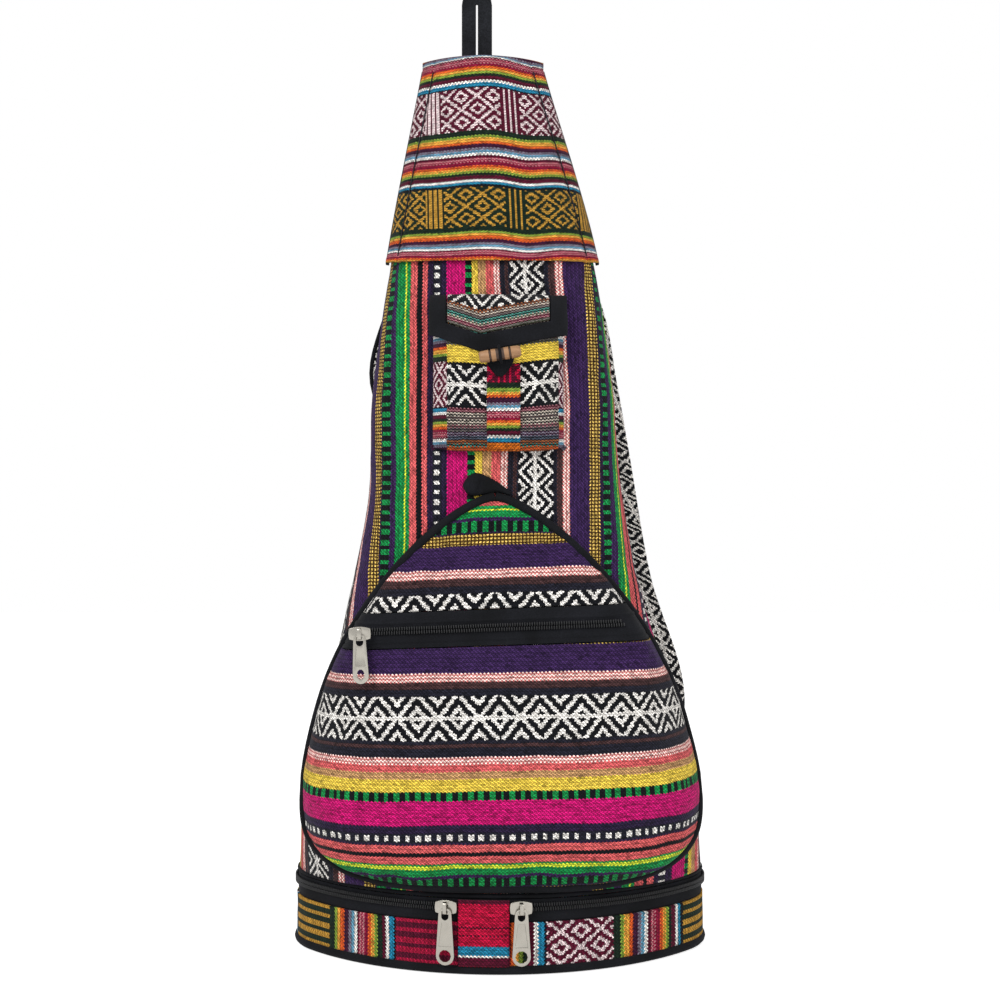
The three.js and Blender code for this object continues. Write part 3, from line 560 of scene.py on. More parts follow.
UPPER_MIDDLE_Z = POCKET_ZIP_Z + ABOVE_ZIP["rise"]
POCKET_FACE = [
    dict(z=POCKET_BOTTOM_Z, depth=POCKET_BULGE),
    dict(z=WIDE_Z, depth=POCKET_BULGE),
    dict(z=WIDE_Z + BULGE_EASE["rise"], depth=POCKET_BULGE - BULGE_EASE["depth"]),
    dict(z=POCKET_ZIP_Z - BELOW_ZIP["drop"], depth=POCKET_ZIP_DEPTH + BELOW_ZIP["depth"]),
    dict(z=POCKET_ZIP_Z, depth=POCKET_ZIP_DEPTH),
    dict(z=UPPER_MIDDLE_Z, depth=body_front(UPPER_MIDDLE_Z) + CLOTH + ABOVE_ZIP["depth"]),
    dict(z=POCKET_APEX_Z, depth=body_front(POCKET_APEX_Z) + CLOTH + 2 * GAP),
]
pocket_depth = through(POCKET_FACE, "depth")


def pocket_point(z, skew, w, out=0.0):
    """Face of the pocket at a height, w across from -1 to 1, skewed to follow the tilted zip."""
    spot = pocket_side(-1, z - skew).lerp(pocket_side(1, z + skew), (w + 1) / 2)
    beside_zip = near(spot.z - POCKET_ZIP_Z, POCKET_SECTION["reach"])
    flatness = POCKET_SECTION["plain"] + POCKET_SECTION["at_zip"] * beside_zip
    rise = math.sqrt(max(1 - abs(w) ** flatness, 0))
    spot.y -= (pocket_depth(spot.z) + spot.y) * rise + out
    return spot


ZIP_SKEW = math.tan(POCKET_ZIP_TILT) * pocket_half(POCKET_ZIP_Z)

ARC_REACH = BASE_WIDTH / 2 - BASE_END_R
ARC_DROP = BASE_DEPTH / 2 - BASE_END_R
ARC_Y = (ARC_REACH ** 2 - ARC_DROP ** 2) / (2 * ARC_DROP)
ARC_R = BASE_DEPTH / 2 + ARC_Y
ARC_SPAN = math.atan2(ARC_REACH, ARC_Y)


def oval(angle, inset, z):
    """Point of the base's oval at an angle from the front, moved in from the outermost line."""
    turn = abs(angle)
    on_end = ARC_SPAN < turn < math.pi - ARC_SPAN
    centre_x = math.copysign(ARC_REACH, angle) if on_end else 0
    centre_y = 0 if on_end else math.copysign(ARC_Y, math.cos(angle))
    radius = (BASE_END_R if on_end else ARC_R) - inset
    return Vector((centre_x + radius * math.sin(angle), centre_y - radius * math.cos(angle), z))


def slide_angle(x):
    """Angle round the base's front arc at which a slider has its x."""
    return math.asin(x / ARC_R)


BRIDGE_FROM = slide_angle(LEFT_SLIDER_X + SLIDER_LENGTH / 2 + 2 * GAP)
BRIDGE_TO = slide_angle(RIGHT_SLIDER_X - SLIDER_LENGTH / 2 - 2 * GAP)


def pouch_y(x, z):
    """Front of the swollen pouch."""
    across = min(abs(x - POUCH["x"]) / POUCH["half"], 1)
    down = clamp(1 - (z - POUCH["z"]) / POUCH["height"], 0, 1)
    swell = math.sqrt((1 - across ** POUCH["side_square"]) * (1 - down ** POUCH["foot_square"]))
    return front_y(x, z) - GAP - CLOTH - POUCH["depth"] * swell


def flap_y(x, z):
    """Front of the flap, which folds over from the body and curls in at its sides."""
    across = abs(x - POUCH["x"]) / FLAP["half"]
    over = clamp((z - FLAP["top"] + FLAP["fold"]) / FLAP["fold"], 0, 1)
    curl = 1 - FLAP_CURL * across ** FLAP_SQUARE
    out = (POUCH["depth"] + CLOTH + GAP) * math.sqrt(1 - over ** 2) * curl
    return front_y(x, z) - GAP - CLOTH - out


def flap_edge(x):
    """Height of the flap's lower edge: a shallow point between its two corners."""
    side = POUCH["x"] + math.copysign(FLAP["half"], x - FLAP["tip_x"])
    return lerp(FLAP["tip"], FLAP["corner"], (x - FLAP["tip_x"]) / (side - FLAP["tip_x"]))


# Materials

def add_node(tree, kind, inputs=None, **settings):
    """Adds a shader node with its settings; an input is a value, a socket, or a node's first output."""
    node = tree.nodes.new("ShaderNode" + kind)
    for key, value in settings.items():
        setattr(node, key, value)
    for key, value in (inputs or {}).items():
        if isinstance(value, bpy.types.Node):
            value = value.outputs[0]
        if isinstance(value, bpy.types.NodeSocket):
            tree.links.new(value, node.inputs[key])
        else:
            node.inputs[key].default_value = value
    return node


def new_material(name, **constants):
    """Material with its constants set on the shader's own sockets."""
    material = bpy.data.materials.new(name)
    material.use_nodes = True
    tree = material.node_tree
    shader = tree.nodes["Principled BSDF"]
    for key, value in constants.items():
        shader.inputs[key.replace("_", " ").title().replace("Ior", "IOR")].default_value = value
    return material, tree, shader


# Dyes of the threads
DYES = dict(
    purple="#36214c", deep_purple="#281d38", magenta="#c4156c", green="#168a46", lime="#cfe03c",
    coral="#d65f60", blush="#d8726f", chalk="#ece8e2", pale="#f3d3cb", tan="#bf9263", yellow="#e6c64a",
    night="#1e1e29", brown="#432d2e", bronze="#42290f", cream="#dcb95f", black="#0f1015",
    maroon="#541028", crimson="#821334", red="#bb123b", orange="#d65a26", amber="#e0a040",
    leaf="#7f9a3a", forest="#13251a", plum="#3a1530", mauve="#776e7e", sky="#6297b2", teal="#227c9f",
    rose="#d98a92", gold="#bb8c36", grey="#686260", moss="#4a503c", rust="#93552f", sea="#48877c",
    ivory="#e3cfd0", stone="#b3a89b", slate="#4a5563", brick="#a3173a", dusk="#8f5f66", tangerine="#dd7420",
)

# Weave, in millimetres; coarse threads are drawn at 1.1 mm, not the real 0.8 mm, so that they show
THREAD = 1.1
FINE_THREAD = 0.82

# Step of the figures along the stripes, length of one bead of thread, depth of a stripe's serrated edge
CELL = 1.15
PICK = 2.3
SERRATION = 0.3

# Slant of a bead as a share of its length, painted shade and highlight across a bead, dye depth from bead to
# bead, dark flecks
SLANT = 0.3
PAINTED_THREAD_SHADE = (0.3, 1.56)
DYE_SHADE = (0.7, 1.34)
FLECKS = dict(share=0.07, tone=0.55)

# Ladders of dashes, and the little grid as pitches and shares
DASH = dict(pitch=6.2, jitter=3.2, share=0.5, uneven=9.09)
GRID = dict(along=(2.2, 0.62), across=(2.0, 0.6))

# Noise sizes: drifting threads, worn and rubbed patches, marks on the metal, dust, grain along and across
DRIFT = 28.57
WORN_PATCH = 11.11
RUBBED_PATCH = 22.22
TUMBLING_MARK = 3.846
DUST = 2.857
GRAIN = (16.67, 2.0, 2.0)

# Kinds of stripe; each one's number goes into the ramp's alpha in even steps
KINDS = ["plain", "dash", "grid", "speckle", "figure"]
KIND_STEP = 1 / 8

# Striped cotton: ground, kind, second dye, width in the pocket's cloth and in the body's cloth
STRIPED_ROWS = [
    ("bronze", "grid", "cream", 6.0, 5.9),
    ("deep_purple", "plain", None, 1.4, 1.8),
    ("black", "dash", "green", 5.8, 5.0),
    ("purple", "plain", None, 2.6, 3.7),
    ("green", "plain", None, 4.2, 4.9),
    ("lime", "plain", None, 1.3, 1.2),
    ("green", "plain", None, 2.2, 2.5),
    ("coral", "plain", None, 4.2, 4.9),
    ("black", "plain", None, 1.6, 2.2),
    ("coral", "plain", None, 3.9, 4.4),
    ("deep_purple", "plain", None, 1.8, 3.0),
    ("night", "plain", None, 1.0, 0.8),
    ("night", "dash", "chalk", 3.5, 3.5),
    ("night", "plain", None, 1.0, 0.8),
    ("deep_purple", "plain", None, 4.6, 4.3),
    ("magenta", "plain", None, 13.8, 11.8),
    ("black", "dash", "green", 5.6, 4.3),
    ("yellow", "plain", None, 8.0, 4.4),
    ("tan", "plain", None, 4.2, 5.4),
    ("coral", "plain", None, 4.6, 5.6),
    ("blush", "speckle", "pale", 4.8, 4.3),
    ("night", "plain", None, 4.4, 3.0),
    ("brown", "plain", None, 3.0, 2.0),
    ("night", "plain", None, 2.6, 1.8),
    ("black", "figure", "chalk", 25.8, 20.4),
    ("night", "plain", None, 4.2, 2.5),
    ("brown", "plain", None, 4.6, 3.0),
    ("blush", "speckle", "pale", 5.5, 4.9),
    ("purple", "plain", None, 14.8, 12.4),
]

# Banded cotton: a figured band, then fine stripes
BANDED_ROWS = [
    ("maroon", "figure", "chalk", 27.8),
    ("forest", "plain", None, 3.2),
    ("leaf", "plain", None, 2.0),
    ("amber", "plain", None, 1.8),
    ("orange", "plain", None, 1.9),
    ("plum", "plain", None, 2.7),
    ("mauve", "plain", None, 1.8),
    ("sky", "plain", None, 1.6),
    ("chalk", "plain", None, 1.6),
    ("maroon", "plain", None, 1.1),
    ("rose", "speckle", "crimson", 2.9),
    ("crimson", "plain", None, 2.1),
    ("orange", "plain", None, 1.6),
    ("amber", "plain", None, 1.6),
    ("leaf", "plain", None, 1.6),
    ("forest", "plain", None, 1.9),
    ("maroon", "plain", None, 2.3),
    ("chalk", "plain", None, 1.5),
    ("teal", "plain", None, 2.4),
    ("black", "plain", None, 1.1),
]
BANDED_FIGURES = [("maroon", "ivory"), ("forest", "gold"), ("maroon", "red")]
BASE_FIGURES = [("maroon", "ivory"), ("forest", "gold"), ("maroon", "brick")]
BANDED_REPEAT = sum(row[3] for row in BANDED_ROWS)

# Pouch cotton, from the foot up: dotted rows, a star band, a yellow band, dotted rows on the flap
POUCH_ROWS = [
    ("rust", "speckle", "orange", 7.8),
    ("black", "speckle", "sea", 2.0),
    ("brown", "speckle", "rust", 2.2),
    ("night", "speckle", "slate", 3.0),
    ("plum", "speckle", "mauve", 2.0),
    ("night", "speckle", "grey", 2.2),
    ("brown", "speckle", "dusk", 2.0),
    ("black", "speckle", "stone", 3.0),
    ("brown", "speckle", "grey", 2.2),
    ("black", "speckle", "stone", 2.2),
    ("maroon", "speckle", "dusk", 2.4),
    ("black", "plain", None, 1.6),
    ("black", "figure", "chalk", 24.0),
    ("black", "plain", None, 1.2),
    ("yellow", "plain", None, 11.0),
    ("moss", "speckle", "grey", 2.6),
    ("maroon", "speckle", "dusk", 2.0),
    ("moss", "speckle", "stone", 2.0),
    ("black", "speckle", "sea", 2.2),
    ("brown", "speckle", "grey", 2.0),
    ("brown", "speckle", "stone", 2.0),
    ("brown", "speckle", "rust", 2.0),
    ("black", "figure", "chalk", 18.0),
]
FLAP_FIRST_ROW = 15

# Woven figures: pitches and widths in millimetres, shares of white, places within one repeat
STAR_PITCH = 22.25
CHEVRON_REACH = 10.4
LATTICE = dict(tall=1.65, pitch=1.2, share=0.42, start=-0.458)
UPRIGHT = dict(pitch=3.4, share=0.5, start=0.25)
BASE_DIAMOND = 9.6
BASE_BARS = dict(pitch=6.2, share=0.5, start=0.2)
BAND_START = 0.1

# Red patch between the zips, from its foot up
PATCH_ROWS = [
    ("maroon", "plain", None, 5.2),
    ("chalk", "plain", None, 1.7),
    ("teal", "plain", None, 5.4),
    ("red", "plain", None, 5.2),
    ("maroon", "speckle", "red", 1.4),
    ("red", "plain", None, 3.4),
    ("maroon", "speckle", "red", 1.4),
    ("red", "plain", None, 14.0),
]


def set_stops(ramp, rows, dye, width, with_kind=False):
    """Fills a ramp with one hard-edged stop for each stripe."""
    ramp.interpolation = "CONSTANT"
    repeat = sum(row[width] for row in rows)
    ramp.elements.remove(ramp.elements[-1])
    place = 0.0
    for k, row in enumerate(rows):
        element = ramp.elements[0] if k == 0 else ramp.elements.new(place)
        element.position = place
        colour = linear(DYES[row[dye] or row[0]])
        if with_kind:
            colour[3] = KINDS.index(row[1]) * KIND_STEP
        element.color = colour
        place += row[width] / repeat


def repeating(tree, value, pitch, share, start=0.0):
    """1 over the first share of every pitch, and 0 over the rest of it."""
    turns = add_node(tree, "Math", {0: value, 1: 1 / pitch, 2: start}, operation="MULTIPLY_ADD")
    part = add_node(tree, "Math", {0: turns}, operation="FRACT")
    return add_node(tree, "Math", {0: part, 1: share}, operation="LESS_THAN")


def diamond_chain(tree, along, local, half, band=None, pitch=24.4, ring=7.0, white=0.41):
    """Eyed diamonds in a chain on a white middle line with chevrons between, picked out in white."""
    side = add_node(tree, "Math", {0: along, 1: pitch / 2}, operation="PINGPONG")
    height = add_node(tree, "Math", {0: local}, operation="ABSOLUTE")
    slope = CHEVRON_REACH / half
    reach = add_node(tree, "Math", {0: height, 1: slope, 2: side}, operation="MULTIPLY_ADD")
    rings = repeating(tree, reach, ring, white, -0.5)
    line = add_node(tree, "Math", {0: height, 1: THREAD}, operation="LESS_THAN")
    return add_node(tree, "Math", {0: rings, 1: line}, operation="MAXIMUM")


def diamond_lattice(tree, along, local, half, band=None, wide=10.4, block=52.0, bars=0.24):
    """Staggered nested diamonds in blocks, between groups of upright bars."""
    tall = half / LATTICE["tall"]
    side = add_node(tree, "Math", {0: along, 1: wide}, operation="PINGPONG")
    height = add_node(tree, "Math", {0: local, 1: tall}, operation="PINGPONG")
    flat = add_node(tree, "Math", {0: side, 1: 2 / wide}, operation="MULTIPLY")
    reach = add_node(tree, "Math", {0: height, 1: 2 / tall, 2: flat}, operation="MULTIPLY_ADD")
    rings = repeating(tree, reach, LATTICE["pitch"], LATTICE["share"], LATTICE["start"])
    in_bars = repeating(tree, along, block, bars, bars / 2)
    upright = repeating(tree, along, **UPRIGHT)
    return add_node(tree, "Mix", {0: in_bars, 2: rings, 3: upright}).outputs[0]


def base_figures(tree, along, local, half, band):
    """On the base the first figured band keeps its diamonds and the others are woven as plain bars."""
    diamonds = diamond_lattice(tree, along, local, half, wide=BASE_DIAMOND, bars=0.0)
    bars = repeating(tree, along, **BASE_BARS)
    plain = add_node(tree, "Math", {0: band, 1: 1 / len(BANDED_FIGURES)}, operation="GREATER_THAN")
    return add_node(tree, "Mix", {0: plain, 2: diamonds, 3: bars}).outputs[0]


def close_chain(tree, along, local, half, band=None):
    """The chain of the body and the strap, drawn closer than the pocket's."""
    return diamond_chain(tree, along, local, half, pitch=19.6, ring=5.8)


def pouch_stars(tree, along, local, half, band=None):
    """The chain on the pouch, cut so close that its chevrons read as stars."""
    return diamond_chain(tree, along, local, half, pitch=STAR_PITCH, ring=6.2, white=0.33)


def object_noise(tree, size, detail):
    """Noise of a size in millimetres on the piece's own coordinates."""
    place = add_node(tree, "TexCoord")
    return add_node(
        tree, "TexNoise", {"Vector": place.outputs["Object"], "Scale": 1 / (size * MM), "Detail": detail})


def two_tones(tree, shader, share, dark, light):
    """Colours the shader between two tones by a share."""
    tone = add_node(tree, "Mix", {0: share, 6: linear(dark), 7: linear(light)}, data_type="RGBA")
    tree.links.new(tone.outputs[2], shader.inputs["Base Color"])


def raise_grain(tree, shader, height, strength, deep):
    """Gives the shader a relief of a depth in millimetres."""
    relief = add_node(tree, "Bump", {"Strength": strength, "Distance": deep * MM, "Height": height})
    tree.links.new(relief.outputs[0], shader.inputs["Normal"])


def thread_count(tree, flat, along, across, twist, thread_width):
    """Counts threads across the cloth. They drift a little, and the picks that cross them serrate them."""
    drift = add_node(tree, "TexNoise", {"Vector": flat, "Scale": 1 / DRIFT, "Detail": 3.0})
    bend = add_node(tree, "Math", {0: drift, 1: twist, 2: -twist / 2}, operation="MULTIPLY_ADD")
    sway = add_node(tree, "Math", {0: along, 1: 2 * math.pi / PICK}, operation="MULTIPLY")
    sway = add_node(tree, "Math", {0: sway}, operation="SINE")
    bend = add_node(tree, "Math", {0: sway, 1: SERRATION, 2: bend}, operation="MULTIPLY_ADD")
    wander = add_node(tree, "Math", {0: across, 1: bend}, operation="ADD")
    return add_node(tree, "Math", {0: wander, 1: 1 / thread_width}, operation="MULTIPLY")


def row_masks(tree, kinds, along, across, number, column):
    """Where the second dye shows in the rows that are dashed, gridded or speckled."""
    masks = {}
    if "dash" in kinds:
        shift = add_node(
            tree, "TexNoise", {"W": column, "Scale": 1 / DASH["uneven"], "Detail": 2.0},
            noise_dimensions="1D")
        moved = add_node(tree, "Math", {0: shift, 1: DASH["jitter"], 2: column}, operation="MULTIPLY_ADD")
        masks["dash"] = repeating(tree, moved, DASH["pitch"], DASH["share"])
    if "grid" in kinds:
        parts = [repeating(tree, along, *GRID["along"]), repeating(tree, across, *GRID["across"])]
        masks["grid"] = add_node(tree, "Math", dict(enumerate(parts)), operation="MULTIPLY")
    if "speckle" in kinds:
        shift = add_node(tree, "Math", {0: number, 1: 0.5}, operation="MULTIPLY")
        masks["speckle"] = repeating(tree, along, PICK, 0.5, shift)
    return masks


def bead_tones(tree, flat, along, count, number, figured):
    """Painted light and shade of the threads, and their relief: each bead is painted lighter on its crown and
    darker at its edges, where shade falls between beads. Each thread is a row of slanting beads that took the
    dye differently, with dark flecks outside the figures and worn patches."""
    inside = add_node(tree, "Math", {0: count}, operation="FRACT")
    slant = add_node(tree, "Math", {0: number, 1: 0.5}, operation="MULTIPLY")
    slant = add_node(tree, "Math", {0: inside, 1: SLANT, 2: slant}, operation="MULTIPLY_ADD")
    phase = add_node(tree, "Math", {0: along, 1: 1 / PICK, 2: slant}, operation="MULTIPLY_ADD")
    bead = add_node(tree, "Math", {0: phase}, operation="FLOOR")
    ridge = []
    for value in (add_node(tree, "Math", {0: phase}, operation="FRACT"), inside):
        turn = add_node(tree, "Math", {0: value, 1: math.pi}, operation="MULTIPLY")
        ridge.append(add_node(tree, "Math", {0: turn}, operation="SINE"))
    thread = add_node(tree, "Math", dict(enumerate(ridge)), operation="MULTIPLY")
    # Painted shade and highlight: each bead lighter on its crown and darker at its edges, where shade falls
    relief = add_node(
        tree, "MapRange", {"Value": thread, "To Min": PAINTED_THREAD_SHADE[0], "To Max": PAINTED_THREAD_SHADE[1]})
    place = add_node(tree, "CombineXYZ", {0: number, 1: bead})
    chance = add_node(tree, "TexWhiteNoise", {"Vector": place}, noise_dimensions="2D")
    dyed = add_node(tree, "MapRange", {"Value": chance, "To Min": DYE_SHADE[0], "To Max": DYE_SHADE[1]})
    other = add_node(tree, "SeparateColor", {0: chance.outputs[1]})
    fleck = add_node(tree, "Math", {0: other.outputs[1], 1: FLECKS["share"]}, operation="LESS_THAN")
    if figured:
        plain = add_node(tree, "Math", {0: 1.0, 1: figured}, operation="SUBTRACT")
        fleck = add_node(tree, "Math", {0: fleck, 1: plain}, operation="MULTIPLY")
    fleck = add_node(tree, "MapRange", {"Value": fleck, "To Min": 1.0, "To Max": FLECKS["tone"]})
    patch = add_node(tree, "TexNoise", {"Vector": flat, "Scale": 1 / WORN_PATCH, "Detail": 4.0})
    worn = add_node(
        tree, "MapRange",
        {"Value": patch, "From Min": 0.3, "From Max": 0.7, "To Min": 0.86, "To Max": 1.1})
    tone = relief
    for share in (dyed, worn, fleck):
        tone = add_node(tree, "Math", {0: tone, 1: share}, operation="MULTIPLY")
    return tone, thread


def woven(name, rows, width, figure=None, bands=None, twist=1.6, thread_width=THREAD):
    """Hand-woven cotton: hard-edged stripes that wander a little, thick threads that each took the dye
    differently, and figures built from whole threads. It reads the UV map "flat", in millimetres:
    along the stripes and across them. Rows give each stripe's dyes and kind, and its width in the
    column of that number; bands give a figured row its own pair of dyes at each repeat."""
    material, tree, shader = new_material(
        name, roughness=0.92, specular_ior_level=0.12, sheen_weight=0.04, sheen_roughness=0.5)
    repeat = sum(row[width] for row in rows)
    kinds = [row[1] for row in rows]
    flat = add_node(tree, "UVMap", uv_map="flat")
    axes = add_node(tree, "SeparateXYZ", {0: flat})
    along, across = axes.outputs[0], axes.outputs[1]
    count = thread_count(tree, flat, along, across, twist, thread_width)
    number = add_node(tree, "Math", {0: count}, operation="FLOOR")
    middle = add_node(
        tree, "Math", {0: number, 1: thread_width, 2: thread_width / 2}, operation="MULTIPLY_ADD")
    turns = add_node(tree, "Math", {0: middle, 1: 1 / repeat}, operation="MULTIPLY")
    place = add_node(tree, "Math", {0: turns}, operation="FRACT")
    ground = add_node(tree, "ValToRGB", {0: place})
    set_stops(ground.color_ramp, rows, 0, width, with_kind=True)
    second = add_node(tree, "ValToRGB", {0: place})
    set_stops(second.color_ramp, rows, 2, width)
    dyes = [ground.outputs[0], second.outputs[0]]

    column = add_node(tree, "Math", {0: along, 1: CELL}, operation="SNAP")
    masks = row_masks(tree, kinds, along, across, number, column)
    band = figured = shown = None
    if bands:
        whole = add_node(tree, "Math", {0: turns}, operation="FLOOR")
        step = add_node(tree, "Math", {0: whole, 1: 1 / len(bands), 2: BAND_START}, operation="MULTIPLY_ADD")
        band = add_node(tree, "Math", {0: step}, operation="FRACT")
    if figure:
        k = kinds.index("figure")
        half = rows[k][width] / 2
        centre = sum(row[width] for row in rows[:k]) + half
        local = add_node(tree, "Math", {0: place, 1: repeat, 2: -centre}, operation="MULTIPLY_ADD")
        masks["figure"] = figure(tree, column, local, half, band)
    for kind, mask in masks.items():
        code = KINDS.index(kind) * KIND_STEP
        found = add_node(
            tree, "Math", {0: ground.outputs[1], 1: code, 2: KIND_STEP / 3}, operation="COMPARE")
        if kind == "figure":
            figured = found
        part = add_node(tree, "Math", {0: found, 1: mask}, operation="MULTIPLY")
        shown = add_node(tree, "Math", {0: part, 1: shown or 0.0}, operation="ADD")
    if bands:
        even = [(*pair, 1.0) for pair in bands]
        for dye in (0, 1):
            ramp = add_node(tree, "ValToRGB", {0: band})
            set_stops(ramp.color_ramp, even, dye, 2)
            picked = add_node(tree, "Mix", {0: figured, 6: dyes[dye], 7: ramp.outputs[0]}, data_type="RGBA")
            dyes[dye] = picked.outputs[2]
    colour = dyes[0]
    if shown:
        colour = add_node(tree, "Mix", {0: shown, 6: dyes[0], 7: dyes[1]}, data_type="RGBA").outputs[2]
    tone, thread = bead_tones(tree, flat, along, count, number, figured)
    # Besides dye, flecks and wear, the tone holds the painted shade and highlight of each bead
    colour = add_node(tree, "Mix", {0: 1.0, 6: colour, 7: tone}, data_type="RGBA", blend_type="MULTIPLY")
    tree.links.new(colour.outputs[2], shader.inputs["Base Color"])
    raise_grain(tree, shader, thread, 0.6, 0.4)
    return material


def plain_weave(name, dark, light, size, strength, rough=0.9):
    """Plain close-woven cotton: an even colour with a fine tooth, a little lighter on the raised threads."""
    material, tree, shader = new_material(name, roughness=rough, specular_ior_level=0.15)
    tooth = object_noise(tree, size, 3.0)
    tooth.inputs["Roughness"].default_value = 0.65
    both = add_node(tree, "Math", {0: tooth, 1: object_noise(tree, RUBBED_PATCH, 2.0)}, operation="MULTIPLY")
    share = add_node(tree, "MapRange", {"Value": both, "From Min": 0.12, "From Max": 0.42})
    two_tones(tree, shader, share, dark, light)
    raise_grain(tree, shader, tooth, strength, 0.3)
    return material


def cast_nickel(name, dark, light):
    """Nickel-plated zinc castings: a satin grey mirror with faint tumbling marks. The near-black copy is
    painted shade for the walls round a pull tab's recessed panel."""
    material, tree, shader = new_material(name, metallic=1.0)
    marks = object_noise(tree, TUMBLING_MARK, 3.0)
    two_tones(tree, shader, marks, dark, light)
    gloss = add_node(tree, "MapRange", {"Value": marks, "To Min": 0.22, "To Max": 0.3})
    tree.links.new(gloss.outputs[0], shader.inputs["Roughness"])
    raise_grain(tree, shader, marks, 0.05, 0.1)
    return material


def turned_wood(name, dark, light):
    """Turned and waxed hardwood: long grain along the barrel."""
    material, tree, shader = new_material(name, roughness=0.5)
    place = add_node(tree, "TexCoord")
    turned = add_node(
        tree, "Mapping",
        {"Vector": place.outputs["Object"], "Rotation": (0, TOGGLE["tilt"], 0),
         "Scale": [1 / (size * MM) for size in GRAIN]})
    grain = add_node(tree, "TexNoise", {"Vector": turned, "Scale": 1.0, "Detail": 6.0})
    two_tones(tree, shader, grain, dark, light)
    raise_grain(tree, shader, grain, 0.2, 0.1)
    return material


def moulded_coil():
    """Moulded nylon zip coil: black with a dull gloss and a trace of dust in its turns."""
    material, tree, shader = new_material("moulded_nylon_coil", specular_ior_level=0.4)
    dust = object_noise(tree, DUST, 3.0)
    two_tones(tree, shader, dust, "#060607", "#141518")
    gloss = add_node(tree, "MapRange", {"Value": dust, "To Min": 0.35, "To Max": 0.6})
    tree.links.new(gloss.outputs[0], shader.inputs["Roughness"])
    return material


POCKET_CLOTH = woven("striped_cotton_pocket", STRIPED_ROWS, 3, diamond_chain, twist=2.4)
BODY_CLOTH = woven("striped_cotton_body", STRIPED_ROWS, 4, close_chain)
HOOD_CLOTH = woven("banded_cotton", BANDED_ROWS, 3, diamond_lattice, bands=BANDED_FIGURES, twist=1.0,
                   thread_width=FINE_THREAD)
BASE_CLOTH = woven("banded_base_cotton", BANDED_ROWS, 3, base_figures, bands=BASE_FIGURES, twist=1.0,
                   thread_width=FINE_THREAD)
POUCH_CLOTH = woven("figured_pouch_cotton", POUCH_ROWS, 3, pouch_stars, twist=0.8, thread_width=FINE_THREAD)
ORANGE_CLOTH = woven("orange_hem_cotton", [("tangerine", "plain", None, 24.0)], 3)
RED_CLOTH = woven("red_patch_cotton", PATCH_ROWS, 3, twist=0.6)
STRAP_CLOTH = woven("black_white_figured_cotton", [("black", "figure", "chalk", 24.0)], 3, close_chain)
BLACK = plain_weave("black_cotton_twill", "#08090b", "#1a1b20", 0.7, 0.5)
WEBBING = plain_weave("black_cotton_webbing", "#0b0c0e", "#26282d", 0.9, 0.8)
LINING = plain_weave("black_base_canvas", "#101114", "#2a2b2f", 1.1, 0.8)
DARK_THREAD = plain_weave("dark_sewing_thread", "#141418", "#34343a", 0.4, 0.4, rough=0.7)
NICKEL = cast_nickel("nickel_plated_zinc", "#98948c", "#a8a49b")
# Near-black painted shade for the walls round a pull tab's recessed panel
NICKEL_PAINTED_SHADE = cast_nickel("nickel_painted_recess_shade", "#1d1a17", "#2b2723")
WOOD = turned_wood("turned_hardwood", "#74502f", "#b98d66")
# Dark wood for the toggle's grooves and for its middle beside the cord
DARK_RING_WOOD = turned_wood("dark_ring_hardwood", "#2c1c12", "#4a3020")
COIL = moulded_coil()


# Pieces

BAG = "bag"

# Body: where its stripes start, how they are drawn in, its sag (waves as height and sizes) and its seams
BODY_STRIPE_X = -80.2
STRIPE_DRAWN = 0.97
SIDE_PULL = 0.2
GATHER = dict(x=16.0, wide=34.0, shift=6.0, low=345.0, high=425.0)
BODY_SAG = [(-2.2, (26, 60, 70)), (-1.0, (9, 20, 24))]
SIDE_DRAW = dict(depth=1.2, reach=1.8)
SEAM_STEP = 0.001
BACK_SEAMS = (219.9, 390.9)
BACK_DRAW = dict(depth=0.9, reach=1.6)

# Hood: stripes and their dips (x, drop, width), hem, side creases with topstitching, bindings, webbing loop
HOOD_STRIPE = 108.8 + HEM_DROOP["depth"]
HEM_TURN = dict(reach=5.0, extra=0.7)
HOOD_CREASE = 8.0
HOOD_TIGHT = 1.1
CROWN_EDGE = {"from": 19.9, "width": 0.9, "squeeze": 2.8}
HOOD_BARS = 15.4
HOOD_DIPS = [(17.0, 2.8, 14.0), (-38.0, 1.5, 20.0)]
HEM_FOLD = dict(height=0.5, reach=4.5)
CREASE = dict(depth=1.1, reach=1.2)
HOOD_RIPPLE = [(-0.4, (14, 30, 12))]
TOPSTITCH = dict(r=0.42, sunk=0.75, foot=2, head=4)
BINDING_START = 0.06
LOOP_SOFT = 0.9

# Strap: how square its section is drawn across and through, and its bound edge
STRAP_SQUARE = dict(across=5, through=3.2)
STRAP_BINDING_R = 1.8

# Front pocket: stripes, fullness, ripples, the fold and seam beside its zip (rise, reach, height), corner tab
MAGENTA_MIDDLE = dict(z=100.3, above=1.07, below=0.95, tilt=math.tan(math.radians(1.0)))
UPPER_STRIPE = dict(z=217.8, figure=9.5, tilt=math.tan(math.radians(2.0)))
PURPLE_DRAWN = 0.78
POCKET_GIVE = 4.0
POCKET_RIPPLE = [(0.9, (40, 40, 18)), (0.35, (12, 20, 9))]
WELT = [(5.2, 0.9, 0.7), (-7.5, 0.7, -0.5)]
COIL_TOOTH = dict(pitch=1.5, side=1.25, sizes=(0.9, 2.4, 1.6), soft=0.35)
CORNER_TAB = dict(thick=1.0, out=1.2, swell=4.2, fold=2.0, fold_u=0.36, fold_lean=0.1, fold_reach=0.05)

# Base: stripes on each side of its middle, edge, puckers and the ends of the zip behind
BASE_STRIPE = dict(right=49.6, wide_right=1.55, left=-44.8, wide_left=1.42, split=-10.0)
BASE_EDGE_R = 3.0
BAND_FOOT = 5.6
BASE_PUCKER = [(-0.5, (11, 11, 14))]
BASE_SOFT = 0.8
ZIP_END = math.pi - 0.02

